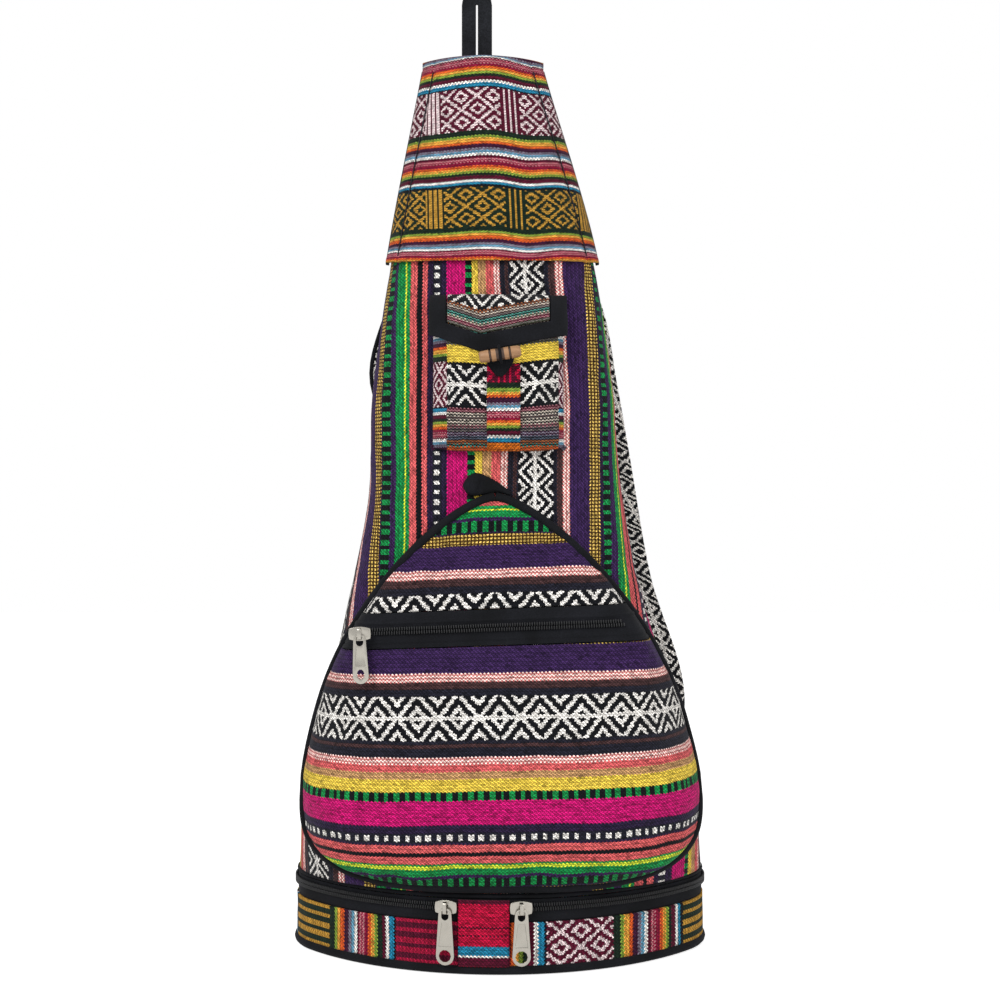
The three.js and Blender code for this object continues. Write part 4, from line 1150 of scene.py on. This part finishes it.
# Pouch: gussets, figures, rows that sag away from its middle, fullness beside the strip, hems and puckers
GUSSET = dict(left=9.0, right=3.4, z=341.0)
STAR_X = -21.2
TOGGLE_LOOP = dict(half=9.0, tip=359.0, top=373.6, thick=2.0, y=-69.5, blunt=0.04, full=0.7,
                   fold=0.6, fold_reach=0.2)
STRIP_STRIPE = dict(start=16.3, scale=0.994)
ROW_SAG = dict(x=2.0, right=0.15, left=0.07, full=40.0, least=0.25)
CORNER_LIFT = 2.6
HEM_ROW = 6.0
STRIP_HEM = 319.0
POUCH_GIVE = dict(most=3.0, free=1, reach=8)
POUCH_PUCKER = [(1.0, (16, 30, 14)), (0.5, (6, 12, 5))]
PUCKER_REACH = 9
FLAP_ROW = 0.8
FLAP_RIPPLE = [(0.5, (16, 30, 12))]
FLAP_EDGE_RIPPLE = [(0.4, (10, 20, 10))]

# Toggle: each end as distances from the tip and radii, the angle that stays sharp, and its cord
TOGGLE_END = [(3.2, 3.65), (1.2, 3.45), (0.4, 3.0), (0.0, 2.4), (0.0, 0.0)]
TOGGLE_SHARP = math.radians(35)
CORD_R = 0.9

# Castings: how softly edges are rounded; a pull tab's panel by its depth, how level its faces lie and look
# to the front, and the rows of faces that round its edge, which get painted shade
CASTING_SOFT = 0.45
PANEL_DEPTH = (0.2, 0.5)
LEVEL = 0.99
TURNED_FRONT = 0.8
ROUNDED_ROWS = 4

# Upper and lower outline of the pocket's corner tab: share of its length (z), X and height (h)
CORNER_TAB_TOP = [
    dict(z=0.0, x=-23.0, h=293.0), dict(z=0.14, x=-20.5, h=297.6), dict(z=0.3, x=-15.3, h=300.8),
    dict(z=0.5, x=-8.0, h=298.6), dict(z=0.75, x=0.2, h=294.0), dict(z=1.0, x=7.0, h=288.6),
]
CORNER_TAB_FOOT = [
    dict(z=0.0, x=-22.6, h=291.4), dict(z=0.14, x=-20.6, h=288.2), dict(z=0.3, x=-16.0, h=286.6),
    dict(z=0.5, x=-9.6, h=287.2), dict(z=0.75, x=-1.5, h=288.4), dict(z=1.0, x=6.0, h=286.6),
]


def rows_before(rows, width, dye, kind):
    """Distance across the cloth to the first stripe of that dye and kind, and that stripe's width."""
    found = next(k for k, row in enumerate(rows) if row[:2] == (dye, kind))
    return sum(row[width] for row in rows[:found]), rows[found][width]


def make_body():
    """Front and back of the body, which meet at the side seams."""
    def wall(first, last):
        def face(u, v):
            z = lerp(BODY_Z, BODY_TOP, v)
            return body_point(even_turn(lerp(first, last, u), z), z)
        return face

    def stripes(spot, across, along, u, v):
        drawn = clamp((spot.z - GATHER["low"]) / (GATHER["high"] - GATHER["low"]), 0, 1)
        drawn *= GATHER["shift"] * near(spot.x - GATHER["x"], GATHER["wide"])
        start = body_lean(spot.z) - BODY_STRIPE_X + (drawn if spot.y < 0 else 0)
        return along, across * STRIPE_DRAWN + start

    def pulled_flat(step):
        return math.hypot(step.x, step.y * (SIDE_PULL if abs(step.x) > abs(step.y) else 1))

    def sag(spot):
        """Sinks the cloth between its seams and draws it in along them."""
        seams = [body_point(even_turn(side * SIDE_SEAM, spot.z), spot.z) for side in (-1, 1)]
        edge = min((spot - seam).length for seam in seams)
        return uneven(spot, BODY_SAG, folded=True) - SIDE_DRAW["depth"] * near(edge, SIDE_DRAW["reach"])

    def back_sag(spot):
        seams = sum(near(spot.z - z, BACK_DRAW["reach"]) for z in BACK_SEAMS)
        return sag(spot) - BACK_DRAW["depth"] * seams

    front = cloth_grid("body_front_cloth", wall(-SIDE_SEAM, SIDE_SEAM), 132, 170, stripes,
                       measure=pulled_flat)
    crumple(front, sag)
    declare_sheet(front)
    dress(thicken(front, CLOTH), BODY_CLOTH, "striped_cotton", BAG, "body_front")
    rest = SIDE_SEAM + SEAM_STEP
    back = cloth_grid("back_cloth", wall(rest, 2 * math.pi - rest), 104, 170, stripes)
    crumple(back, back_sag)
    declare_sheet(back)
    dress(thicken(back, CLOTH), BODY_CLOTH, "striped_cotton", BAG,
          "back_panel", "back_lower_panel", "back_yoke")


def hood_crease_x(z):
    """Distance of the hood's side creases from its middle, at a height."""
    edge = body_point(even_turn(HOOD_WRAP, z), z, HOOD_OUT).x - body_lean(z)
    return abs(edge) - HOOD_CREASE


def make_hood():
    """Hood over the top, its side bindings and topstitching, and the webbing loop."""
    def stripes(spot, across, along, u, v):
        low = HOOD_STRIPE - BANDED_REPEAT - along
        drawn = low * HOOD_TIGHT if low > 0 else low
        drawn += HEM_TURN["extra"] * max(0, 1 - along / HEM_TURN["reach"])
        drawn += BANDED_REPEAT - sum(drop * near(spot.x - x, wide) for x, drop, wide in HOOD_DIPS)
        over = max(0, -CROWN_EDGE["from"] - drawn)
        return across - HOOD_BARS, drawn - min(over, CROWN_EDGE["width"]) * CROWN_EDGE["squeeze"]

    def crease(spot):
        if spot.y > 0 or spot.z > HOOD_TOP:
            return 0
        off = hood_crease_x(spot.z) - abs(spot.x - body_lean(spot.z))
        hem = HEM_FOLD["height"] * math.exp(-((spot.z - HOOD_HEM_Z) / HEM_FOLD["reach"]) ** 4)
        return hem - CREASE["depth"] * near(off, CREASE["reach"]) + uneven(spot, HOOD_RIPPLE, folded=True)

    hood = cloth_grid("hood_cloth", hood_point, 132, 200, stripes)
    crumple(hood, crease)
    declare_sheet(hood)
    dress(thicken(hood, CLOTH), HOOD_CLOTH, "banded_cotton", BAG, "hood_panel")
    first, last = HOOD_WRAP + BINDING_START, HOOD_WRAP + HOOD_BINDING_WRAP
    for side, name in ((-1, "left"), (1, "right")):
        def face(u, v):
            z = lerp(HOOD_HEM_Z, BODY_TOP, v)
            turn = lerp(first, last, u) if side > 0 else -lerp(last, first, u)
            return body_point(even_turn(turn, z), z, HOOD_OUT)
        binding = cloth_grid(f"hood_binding_{name}_cloth", face, 8, 60)
        dress(thicken(binding, CLOTH), BLACK, "black_cotton", BAG, f"hood_binding_{name}")
        rise = []
        for k in range(41):
            z = lerp(HOOD_HEM_Z + TOPSTITCH["foot"], BODY_TOP - TOPSTITCH["head"], k / 40)
            edge = hood_crease_x(z)
            square = body_square(z)
            share = (1 - (edge / (body_half(z) + HOOD_OUT)) ** square) ** (1 / square)
            y = TOPSTITCH["sunk"] - (body_front(z) + HOOD_OUT) * share
            rise.append(Vector((body_lean(z) + side * edge, y, z)))
        stitches = pipe(f"hood_topstitch_{name}", rise, TOPSTITCH["r"], sides=2)
        dress(stitches, DARK_THREAD, "black_cotton", BAG)
    webbing = node_copy("hanging_loop", "hanging_loop_webbing", LOOP_SOFT, segments=3)
    dress(webbing, WEBBING, "black_cotton", BAG, "hanging_loop")


def make_strap():
    """Padded shoulder strap behind the bag, with its bound edge."""
    def face(u, v):
        turn = 2 * math.pi * u
        share = 0.5 - 0.5 * rounded(math.cos(turn), STRAP_SQUARE["across"])
        through = rounded(math.sin(turn), STRAP_SQUARE["through"])
        return strap_point(share, v, STRAP_T / 2 * (1 - through))

    rows = 150
    widths = []
    for row in range(rows + 1):
        spots = [strap_point(k / 16, row / rows) for k in range(17)]
        widths.append(sum((b - a).length for a, b in zip(spots, spots[1:])))

    def stripes(spot, across, along, u, v):
        return along, abs(across) - widths[round(v * rows)] / 2

    strap = cloth_grid("shoulder_strap_pad", face, 96, rows, stripes, hoop=True)
    edit(strap, bpy.ops.mesh.fill_holes, sides=0)
    dress(strap, STRAP_CLOTH, "strap_weave", BAG, "shoulder_strap")
    edge = [strap_point(1, k / 60, STRAP_T / 2) for k in range(61)]
    dress(pipe("strap_binding", edge, STRAP_BINDING_R), BLACK, "black_cotton", BAG)


def make_pocket():
    """Both panels of the teardrop pocket, the piping round it and the tab at its point."""
    magenta, band = rows_before(STRIPED_ROWS, 3, "magenta", "plain")
    figure, figure_width = rows_before(STRIPED_ROWS, 3, "black", "figure")
    purple = sum(row[3] for row in STRIPED_ROWS[:-1])

    def upper(u, v):
        top = lerp(WIDE_Z, POCKET_APEX_Z, POCKET_LAST_RISE["panel"])
        z = lerp(POCKET_ZIP_Z + POCKET_ZIP_BAND / 2, top, v)
        return pocket_point(z, ZIP_SKEW * (1 - v), math.sin((u - 0.5) * math.pi))

    def upper_stripes(spot, across, along, u, v):
        rise = spot.z - spot.x * UPPER_STRIPE["tilt"] - UPPER_STRIPE["z"]
        return across, figure + figure_width - UPPER_STRIPE["figure"] + rise

    def lower(u, v):
        t = 2 * u - 1
        w = lower_across(t) / lower_across(1)
        if v >= 1 - LOWER_SIDE_SHARE:
            up = (v - 1 + LOWER_SIDE_SHARE) / LOWER_SIDE_SHARE
            return pocket_point(lerp(WIDE_Z, POCKET_ZIP_Z - POCKET_ZIP_BAND / 2, up), ZIP_SKEW * up, w)
        down = 1 - v / (1 - LOWER_SIDE_SHARE)
        belly = pocket_point(WIDE_Z, 0, w)
        foot = pocket_foot(t)
        round_off = math.sqrt(max(1 - down ** POCKET_SECTION["foot_round"], 0))
        hold = lerp(round_off, 1 - down, abs(w) ** POCKET_SECTION["foot_corner"])
        spot = belly.lerp(foot, down)
        spot.y = lerp(foot.y, belly.y, hold)
        return spot

    def lower_stripes(spot, across, along, u, v):
        rise = spot.z - spot.x * MAGENTA_MIDDLE["tilt"] - MAGENTA_MIDDLE["z"]
        row = magenta + band / 2 + rise * MAGENTA_MIDDLE["above" if rise > 0 else "below"]
        return across, min(row, lerp(purple, row, PURPLE_DRAWN))

    panels = [("upper", upper, 32, upper_stripes), ("lower", lower, 68, lower_stripes)]
    for name, face, rows, stripes in panels:
        flat = cloth_grid(f"pocket_{name}_cloth", face, 84, rows, stripes)
        panel = settle(flat, lambda spot: POCKET_GIVE)
        crumple(panel, lambda spot: uneven(spot, POCKET_RIPPLE))
        declare_sheet(panel)
        dress(thicken(panel, CLOTH), POCKET_CLOTH, "striped_cotton", BAG, f"pocket_{name}_panel")

    last = (POCKET_APEX_Z - WIDE_Z) * POCKET_LAST_RISE["piping"]
    heights = [WIDE_Z + last * math.sin(math.pi / 2 * k / 32) for k in range(33)]
    line = [on_piping(POCKET_APEX_X - GAP, POCKET_APEX_Z)]
    line += [pocket_side(-1, z) for z in heights[:0:-1]]
    line += [pocket_foot(k / 32 - 1) for k in range(65)]
    line += [pocket_side(1, z) for z in heights[1:]]
    line += [on_piping(POCKET_APEX_X + GAP, POCKET_APEX_Z)]
    dress(pipe("pocket_edge_piping", line, POCKET_PIPING_R), BLACK, "black_cotton", BAG, "pocket_piping")
    top_x, top_h = (through(CORNER_TAB_TOP, size) for size in "xh")
    foot_x, foot_h = (through(CORNER_TAB_FOOT, size) for size in "xh")

    def folded_tab(u, v):
        x, z = lerp(foot_x(u), top_x(u), v), lerp(foot_h(u), top_h(u), v)
        swell = (4 * v * (1 - v)) ** 0.5 * min(1, 6 * u) * (1 - 0.5 * u)
        fold = near(u - CORNER_TAB["fold_u"] - CORNER_TAB["fold_lean"] * v, CORNER_TAB["fold_reach"])
        out = CORNER_TAB["out"] + (CORNER_TAB["swell"] - CORNER_TAB["fold"] * fold) * swell
        return Vector((x, front_y(x, z) - GAP - out, z))

    tab = cloth_grid("pocket_corner_tab_cloth", folded_tab, 48, 20)
    dress(thicken(tab, CORNER_TAB["thick"]), BLACK, "black_cotton", BAG, "pocket_corner_tab")


def coil(name, lower, upper, *nodes):
    """Two rows of interlocked coil turns between the lower and the upper edge of a zip's chain."""
    middle = [(a + b) / 2 for a, b in zip(lower, upper)]
    places = []
    for k, (spot, forward, n) in enumerate(evenly(middle, COIL_TOOTH["pitch"] / 2)):
        up = (upper[n] - lower[n]).normalized()
        side = COIL_TOOTH["side"] if k % 2 else -COIL_TOOTH["side"]
        places.append(seat(spot + up * side, forward, forward.cross(up)))
    dress(row_of(name, COIL_TOOTH["sizes"], COIL_TOOTH["soft"], places), COIL, "zip_coil", BAG, *nodes)


def make_pocket_zip():
    """Tape and coil of the zip across the pocket."""
    reach = POCKET_ZIP_BAND - 4 * GAP

    def tape(u, v):
        z = POCKET_ZIP_Z + (v - 0.5) * reach
        return pocket_point(z, ZIP_SKEW, math.sin((u - 0.5) * math.pi))

    middle = pocket_centre(POCKET_ZIP_Z)
    span = pocket_side(1, POCKET_ZIP_Z).x - middle

    def welt(spot):
        rise = spot.z - (spot.x - middle) * math.tan(POCKET_ZIP_TILT) - POCKET_ZIP_Z
        return sum(height * near(rise - at, reach) for at, reach, height in WELT)

    cloth = cloth_grid("pocket_zip_tape_cloth", tape, 120, 46)
    crumple(cloth, welt)
    dress(thicken(cloth, TAPE_T), BLACK, "black_cotton", BAG, "pocket_zip_tape")

    def edge(rise):
        line = []
        for k in range(81):
            x = lerp(POCKET_ZIP_FROM, POCKET_ZIP_TO, k / 80)
            line.append(pocket_point(
                POCKET_ZIP_Z + rise, ZIP_SKEW, (x - middle) / span, GAP + CHAIN_T / 2))
        return line

    coil("pocket_zip_coil", edge(-CHAIN_WIDTH / 2), edge(CHAIN_WIDTH / 2), "pocket_zip_chain")


def make_base():
    """Band, zip, pipings and bottom of the base, and the red patch between the zip's ends."""
    def hoop(inset, low, height):
        return lambda u, v: oval(lerp(-math.pi, math.pi, u), inset, low + height * v)

    def stripes(spot, across, along, u, v):
        start = BANDED_ROWS[0][3] / 2
        if across > BASE_STRIPE["split"]:
            return along, (across - BASE_STRIPE["right"]) / BASE_STRIPE["wide_right"] + start
        left = (across - BASE_STRIPE["left"]) / BASE_STRIPE["wide_left"]
        return along, left + start + 2 * BANDED_REPEAT

    def ring(inset, z):
        return [oval(lerp(-math.pi, math.pi, k / 240), inset, z) for k in range(240)]

    upright = hoop(BAND_INSET, BAND_FOOT, BAND_Z + BAND_HEIGHT - BAND_FOOT)
    band = cloth_grid("base_band_cloth", upright, 320, 20, stripes, hoop=True)
    crumple(band, lambda spot: uneven(spot, BASE_PUCKER, folded=True))
    declare_sheet(band)
    dress(thicken(band, CLOTH), BASE_CLOTH, "banded_cotton", BAG, "base_band")
    tape = cloth_grid(
        "base_zip_tape_cloth", hoop(BASE_TAPE_INSET, BASE_TAPE_Z, BASE_TAPE_HEIGHT), 240, 12, hoop=True)
    dress(thicken(tape, TAPE_T), BLACK, "black_cotton", BAG, "base_zip_tape")
    edging = pipe("base_edge_piping", ring(BASE_EDGE_R, BASE_EDGE_R + GAP), BASE_EDGE_R, closed=True)
    dress(edging, BLACK, "black_cotton", BAG, "base_piping")
    seam = pipe("base_seam_piping_cloth", ring(FOOT_INSET + GAP, SEAM_Z), SEAM_PIPING_R, closed=True)
    dress(seam, BLACK, "black_cotton", BAG, "base_seam_piping")
    bottom = node_copy("base_panel", "base_panel_canvas", BASE_SOFT)
    dress(bottom, LINING, "black_cotton", BAG, "base_panel")

    slack = slide_angle(2 * GAP)
    chains = [("left", -ZIP_END, BRIDGE_FROM - slack), ("right", BRIDGE_TO + slack, ZIP_END)]
    for side, first, last in chains:
        edges = []
        for rise in (-CHAIN_WIDTH / 2, CHAIN_WIDTH / 2):
            inset = BASE_TAPE_INSET - GAP - CHAIN_T / 2
            turns = [lerp(first, last, k / 200) for k in range(201)]
            edges.append([oval(turn, inset, BASE_CHAIN_Z + rise) for turn in turns])
        coil(f"base_zip_coil_{side}", *edges, f"base_zip_chain_{side}")

    def patch(u, v):
        z = lerp(BAND_FOOT, BASE_TAPE_Z + BASE_TAPE_HEIGHT, v)
        return oval(lerp(BRIDGE_FROM, BRIDGE_TO, u), BAND_INSET - GAP - BRIDGE_T, z)

    bridge = cloth_grid("base_zip_bridge_cloth", patch, 24, 32)
    dress(thicken(bridge, BRIDGE_T), RED_CLOTH, "red_cotton", BAG, "base_zip_bridge")


def make_pouch():
    """Pouch with its gussets and strip, its bound flap, and the loop that the toggle goes through."""
    foot = POUCH["z"]

    def body(u, v):
        x = POUCH["x"] + POUCH["half"] * math.sin((u - 0.5) * math.pi)
        z = foot + POUCH["height"] * (1 - math.cos(v * math.pi / 2))
        lift = CORNER_LIFT * (1 - v) ** 4 * (abs(x - POUCH["x"]) / POUCH["half"]) ** 5
        return Vector((x, pouch_y(x, z), z + lift))

    def on_gusset(x):
        off = x - POUCH["x"]
        return off < GUSSET["left"] - POUCH["half"] or off > POUCH["half"] - GUSSET["right"]

    def rows(spot, across, along, u, v):
        off = spot.x - ROW_SAG["x"]
        sag = off * ROW_SAG["right"] if off > 0 else -off * ROW_SAG["left"]
        sag *= clamp((spot.z - foot) / ROW_SAG["full"], ROW_SAG["least"], 1)
        return spot.x - STAR_X + STAR_PITCH / 2, spot.z - foot - sag + HEM_ROW

    def beside_strip(spot):
        off = abs(spot.x - STRIP["x"]) - STRIP["half"] - POUCH_GIVE["free"]
        return POUCH_GIVE["most"] * clamp(off / POUCH_GIVE["reach"], 0, 1)

    def strip_rows(spot, across, along, u, v):
        down = (STRIP["top"] - spot.z) * STRIP_STRIPE["scale"]
        return across, down + STRIP_STRIPE["start"] + 2 * BANDED_REPEAT

    def pucker(spot):
        sewn = min(POUCH["half"] - abs(spot.x - POUCH["x"]), spot.z - foot)
        return clamp(sewn / PUCKER_REACH, 0, 1) * uneven(spot, POUCH_PUCKER)

    pouch = settle(cloth_grid("pouch_body_cloth", body, 56, 48, rows), beside_strip)
    layer = pouch.data.uv_layers["flat"]
    for face in pouch.data.polygons:
        middle = face.center / MM
        gusset = on_gusset(middle.x)
        under_strip = abs(middle.x - STRIP["x"]) < STRIP["half"] and middle.z < STRIP["bottom"]
        if not gusset and not under_strip:
            continue
        face.material_index = 2 if under_strip and not gusset and middle.z < STRIP_HEM else 1
        for k in face.loop_indices:
            spot = pouch.data.vertices[pouch.data.loops[k].vertex_index].co / MM
            if gusset:
                layer.data[k].uv = (abs(spot.x - POUCH["x"]) + spot.y, spot.z - GUSSET["z"])
            else:
                layer.data[k].uv = strip_rows(spot, spot.x, 0, 0, 0)
    crumple(pouch, pucker)
    declare_sheet(pouch)
    dress(thicken(pouch, CLOTH), [POUCH_CLOTH, HOOD_CLOTH, ORANGE_CLOTH], "pouch_cotton", BAG, "pouch_body")

    def strip(u, v):
        x = STRIP["x"] + STRIP["half"] * (2 * u - 1)
        z = lerp(STRIP["bottom"], STRIP["top"], v)
        return Vector((x, pouch_y(x, z) - GAP - STRIP["thick"], z))

    piece = cloth_grid("pouch_strip_cloth", strip, 20, 44, strip_rows)
    dress(thicken(piece, STRIP["thick"]), HOOD_CLOTH, "banded_cotton", BAG, "pouch_strip")

    left, right = POUCH["x"] - FLAP["half"], POUCH["x"] + FLAP["half"]
    inset = FLAP_BINDING + 3 * GAP
    flap_rows = sum(row[3] for row in POUCH_ROWS[:FLAP_FIRST_ROW])

    def field(u, v):
        x = lerp(left + inset, right - inset, u)
        z = lerp(flap_edge(x) + inset, FLAP["top"], v)
        return Vector((x, flap_y(x, z), z))

    def field_rows(spot, across, along, u, v):
        return spot.x, flap_rows + FLAP_ROW + spot.z - flap_edge(spot.x) - inset

    flap = cloth_grid("pouch_flap_cloth", field, 72, 40, field_rows)
    crumple(flap, lambda spot: uneven(spot, FLAP_RIPPLE))
    declare_sheet(flap)
    dress(thicken(flap, CLOTH), POUCH_CLOTH, "pouch_cotton", BAG, "pouch_flap")

    corners = [left, left, FLAP["tip_x"], right, right]

    def border(u, v):
        leg = min(int(4 * u), 3)
        inward = v * FLAP_BINDING
        ends = []
        for k in (leg, leg + 1):
            x = corners[k] + inward * (k < 2) - inward * (k > 2)
            ends.append((x, FLAP["top"] if k in (0, 4) else flap_edge(x) + inward))
        x, z = (lerp(a, b, 4 * u - leg) for a, b in zip(*ends))
        return Vector((x, flap_y(x, z), z))

    binding = cloth_grid("pouch_flap_binding_cloth", border, 128, 12)
    crumple(binding, lambda spot: uneven(spot, FLAP_EDGE_RIPPLE))
    dress(thicken(binding, CLOTH), BLACK, "black_cotton", BAG, "pouch_flap_binding")

    def loop(u, v):
        widening = math.sin(math.pi / 2 * min(1, TOGGLE_LOOP["blunt"] + v)) ** TOGGLE_LOOP["full"]
        x = TOGGLE_LOOP["half"] * widening * (2 * u - 1)
        fold = TOGGLE_LOOP["fold"] * near(2 * u - 1, TOGGLE_LOOP["fold_reach"])
        return Vector((x, TOGGLE_LOOP["y"] - fold, lerp(TOGGLE_LOOP["tip"], TOGGLE_LOOP["top"], v)))

    cloth = cloth_grid("toggle_loop_cloth", loop, 24, 16)
    dress(thicken(cloth, TOGGLE_LOOP["thick"]), BLACK, "black_cotton", BAG, "toggle_loop")


def make_toggle():
    """Turned toggle, coloured dark in a groove near each end and beside its middle, and the cord round its
    middle.
    """
    r, ring = TOGGLE["r"], TOGGLE_RING
    rim, floor = ring["width"] / 2, ring["floor"] / 2
    side = [(ring["start"], r), (ring["x"] - rim, r), (ring["x"] - floor, r - ring["depth"])]
    side += [(ring["x"] + floor, r - ring["depth"]), (ring["x"] + rim, r)]
    side += [(TOGGLE["length"] / 2 - inset, reach) for inset, reach in TOGGLE_END]
    profile = [(-x, reach) for x, reach in reversed(side)] + side
    axis = Vector((math.cos(TOGGLE["tilt"]), 0, math.sin(TOGGLE["tilt"])))
    first = Vector((0, -1, 0))
    second = axis.cross(first)
    centre = Vector((0, TOGGLE["y"], TOGGLE["z"]))

    def round_axis(turn, x, reach):
        return centre + axis * x + (first * math.cos(turn) + second * math.sin(turn)) * reach

    def face(u, v):
        return round_axis(2 * math.pi * u, *profile[round(v * (len(profile) - 1))])

    toggle = cloth_grid("toggle_wood", face, 40, len(profile) - 1, hoop=True)
    # Dark wood in each groove and on the middle beside the cord
    for polygon in toggle.data.polygons:
        off = abs((polygon.center / MM - centre).dot(axis))
        polygon.material_index = int(abs(off - ring["x"]) < rim or off < ring["start"])
    only(toggle)
    bpy.ops.object.shade_smooth_by_angle(angle=TOGGLE_SHARP)
    dress(toggle, [WOOD, DARK_RING_WOOD], "turned_wood", "toggle", "toggle")
    turns = [round_axis(2 * math.pi * k / 40, 0, r + GAP + CORD_R) for k in range(40)]
    cord = pipe("toggle_cord_loop", turns, CORD_R, closed=True)
    dress(cord, BLACK, "black_cotton", "toggle", "toggle_cord")


def paint_panel_edge_shade(piece):
    """Paints the low walls round a pull tab's shallow panel near-black with the second material, as shade in
    the recess.
    """
    faces = piece.data.polygons
    looking = [face.normal * face.area for face in faces if face.normal.y < -TURNED_FRONT]
    front = sum(looking, Vector()).normalized()
    level = [face for face in faces if face.normal.dot(front) > LEVEL]
    top = max(face.center.dot(front) for face in level)
    least, most = (depth * MM for depth in PANEL_DEPTH)
    floor = [face for face in level if least < top - face.center.dot(front) < most]
    reached = {corner for face in floor for corner in face.vertices}
    for _ in range(ROUNDED_ROWS):
        walls = [face for face in faces if face.normal.dot(front) < LEVEL and reached & set(face.vertices)]
        for face in walls:
            face.material_index = 1
            reached.update(face.vertices)


def make_metal():
    """The three sliders and their pull tabs, each on its own moving body."""
    for node, body in (
        ("pocket_zip_slider", "pocket_slider"), ("pocket_pull_tab", "pocket_tab"),
        ("base_slider_left", "left_slider"), ("base_pull_tab_left", "left_tab"),
        ("base_slider_right", "right_slider"), ("base_pull_tab_right", "right_tab"),
    ):
        casting = node_copy(node, node + "_casting", CASTING_SOFT, segments=3)
        if "tab" in node:
            # The walls round a tab's recessed panel get painted shade
            paint_panel_edge_shade(casting)
        dress(casting, [NICKEL, NICKEL_PAINTED_SHADE], "nickel", body, node)


# Stage, in metres: floor, two softboxes (place, power, size), and the camera at the photo's viewpoint
FLOOR_SIZE = 6
FLOOR_GLOW = 0.72
ROOM_LIGHT = dict(lit=0.5, seen=1.0)
SOFTBOXES = dict(key_softbox=((-1.2, -1.8, 1.8), 38, 1.2), fill_softbox=((1.4, -1.6, 0.9), 17, 1.6))
SOFTBOX_AIM = Vector((0, 0, 0.28))
CAMERA = dict(place=(0, -1.05, 0.284), sensor=36, lens=58.14)
WHITE = (1, 1, 1, 1)


def seen_rays(tree):
    """1 for what the camera sees, straight or by a reflection, and 0 for what only lights the bag."""
    path = add_node(tree, "LightPath")
    rays = path.outputs["Is Camera Ray"]
    for kind in ("Is Glossy Ray", "Is Transmission Ray"):
        rays = add_node(tree, "Math", {0: rays, 1: path.outputs[kind]}, operation="MAXIMUM")
    return rays


def make_stage():
    """White room that shows as plain white but lights the bag softly, with its lamps and camera."""
    bpy.ops.object.select_all(action="DESELECT")
    bpy.ops.mesh.primitive_plane_add(size=FLOOR_SIZE)
    floor = bpy.context.object
    floor.name = "studio_floor"
    # White painted floor: it glows for the camera only, so that it ends without a line
    material, tree, shader = new_material("white_studio_floor", base_color=linear("#e6e6e6"), roughness=0.9)
    glow = add_node(tree, "Math", {0: seen_rays(tree), 1: FLOOR_GLOW}, operation="MULTIPLY")
    shader.inputs["Emission Color"].default_value = WHITE
    tree.links.new(glow.outputs[0], shader.inputs["Emission Strength"])
    floor.data.materials.append(material)

    scene = bpy.context.scene
    scene.world = world = bpy.data.worlds.new("white_studio")
    world.use_nodes = True
    tree = world.node_tree
    level = add_node(
        tree, "MapRange",
        {"Value": seen_rays(tree), "To Min": ROOM_LIGHT["lit"], "To Max": ROOM_LIGHT["seen"]})
    tree.nodes["Background"].inputs[0].default_value = WHITE
    tree.links.new(level.outputs[0], tree.nodes["Background"].inputs[1])

    for name, (spot, power, size) in SOFTBOXES.items():
        lamp = bpy.data.lights.new(name, "AREA")
        lamp.energy = power
        lamp.size = size
        holder = bpy.data.objects.new(name, lamp)
        holder.location = spot
        holder.rotation_euler = (SOFTBOX_AIM - Vector(spot)).to_track_quat("-Z", "Y").to_euler()
        bpy.context.collection.objects.link(holder)

    lens = bpy.data.cameras.new("camera")
    lens.sensor_width = CAMERA["sensor"]
    lens.lens = CAMERA["lens"]
    camera = bpy.data.objects.new("camera", lens)
    camera.location = CAMERA["place"]
    camera.rotation_euler = (math.pi / 2, 0, 0)
    bpy.context.collection.objects.link(camera)
    scene.camera = camera
    scene.view_settings.view_transform = "Standard"


make_body()
make_hood()
make_strap()
make_pocket()
make_pocket_zip()
make_base()
make_pouch()
make_toggle()
make_metal()
make_stage()
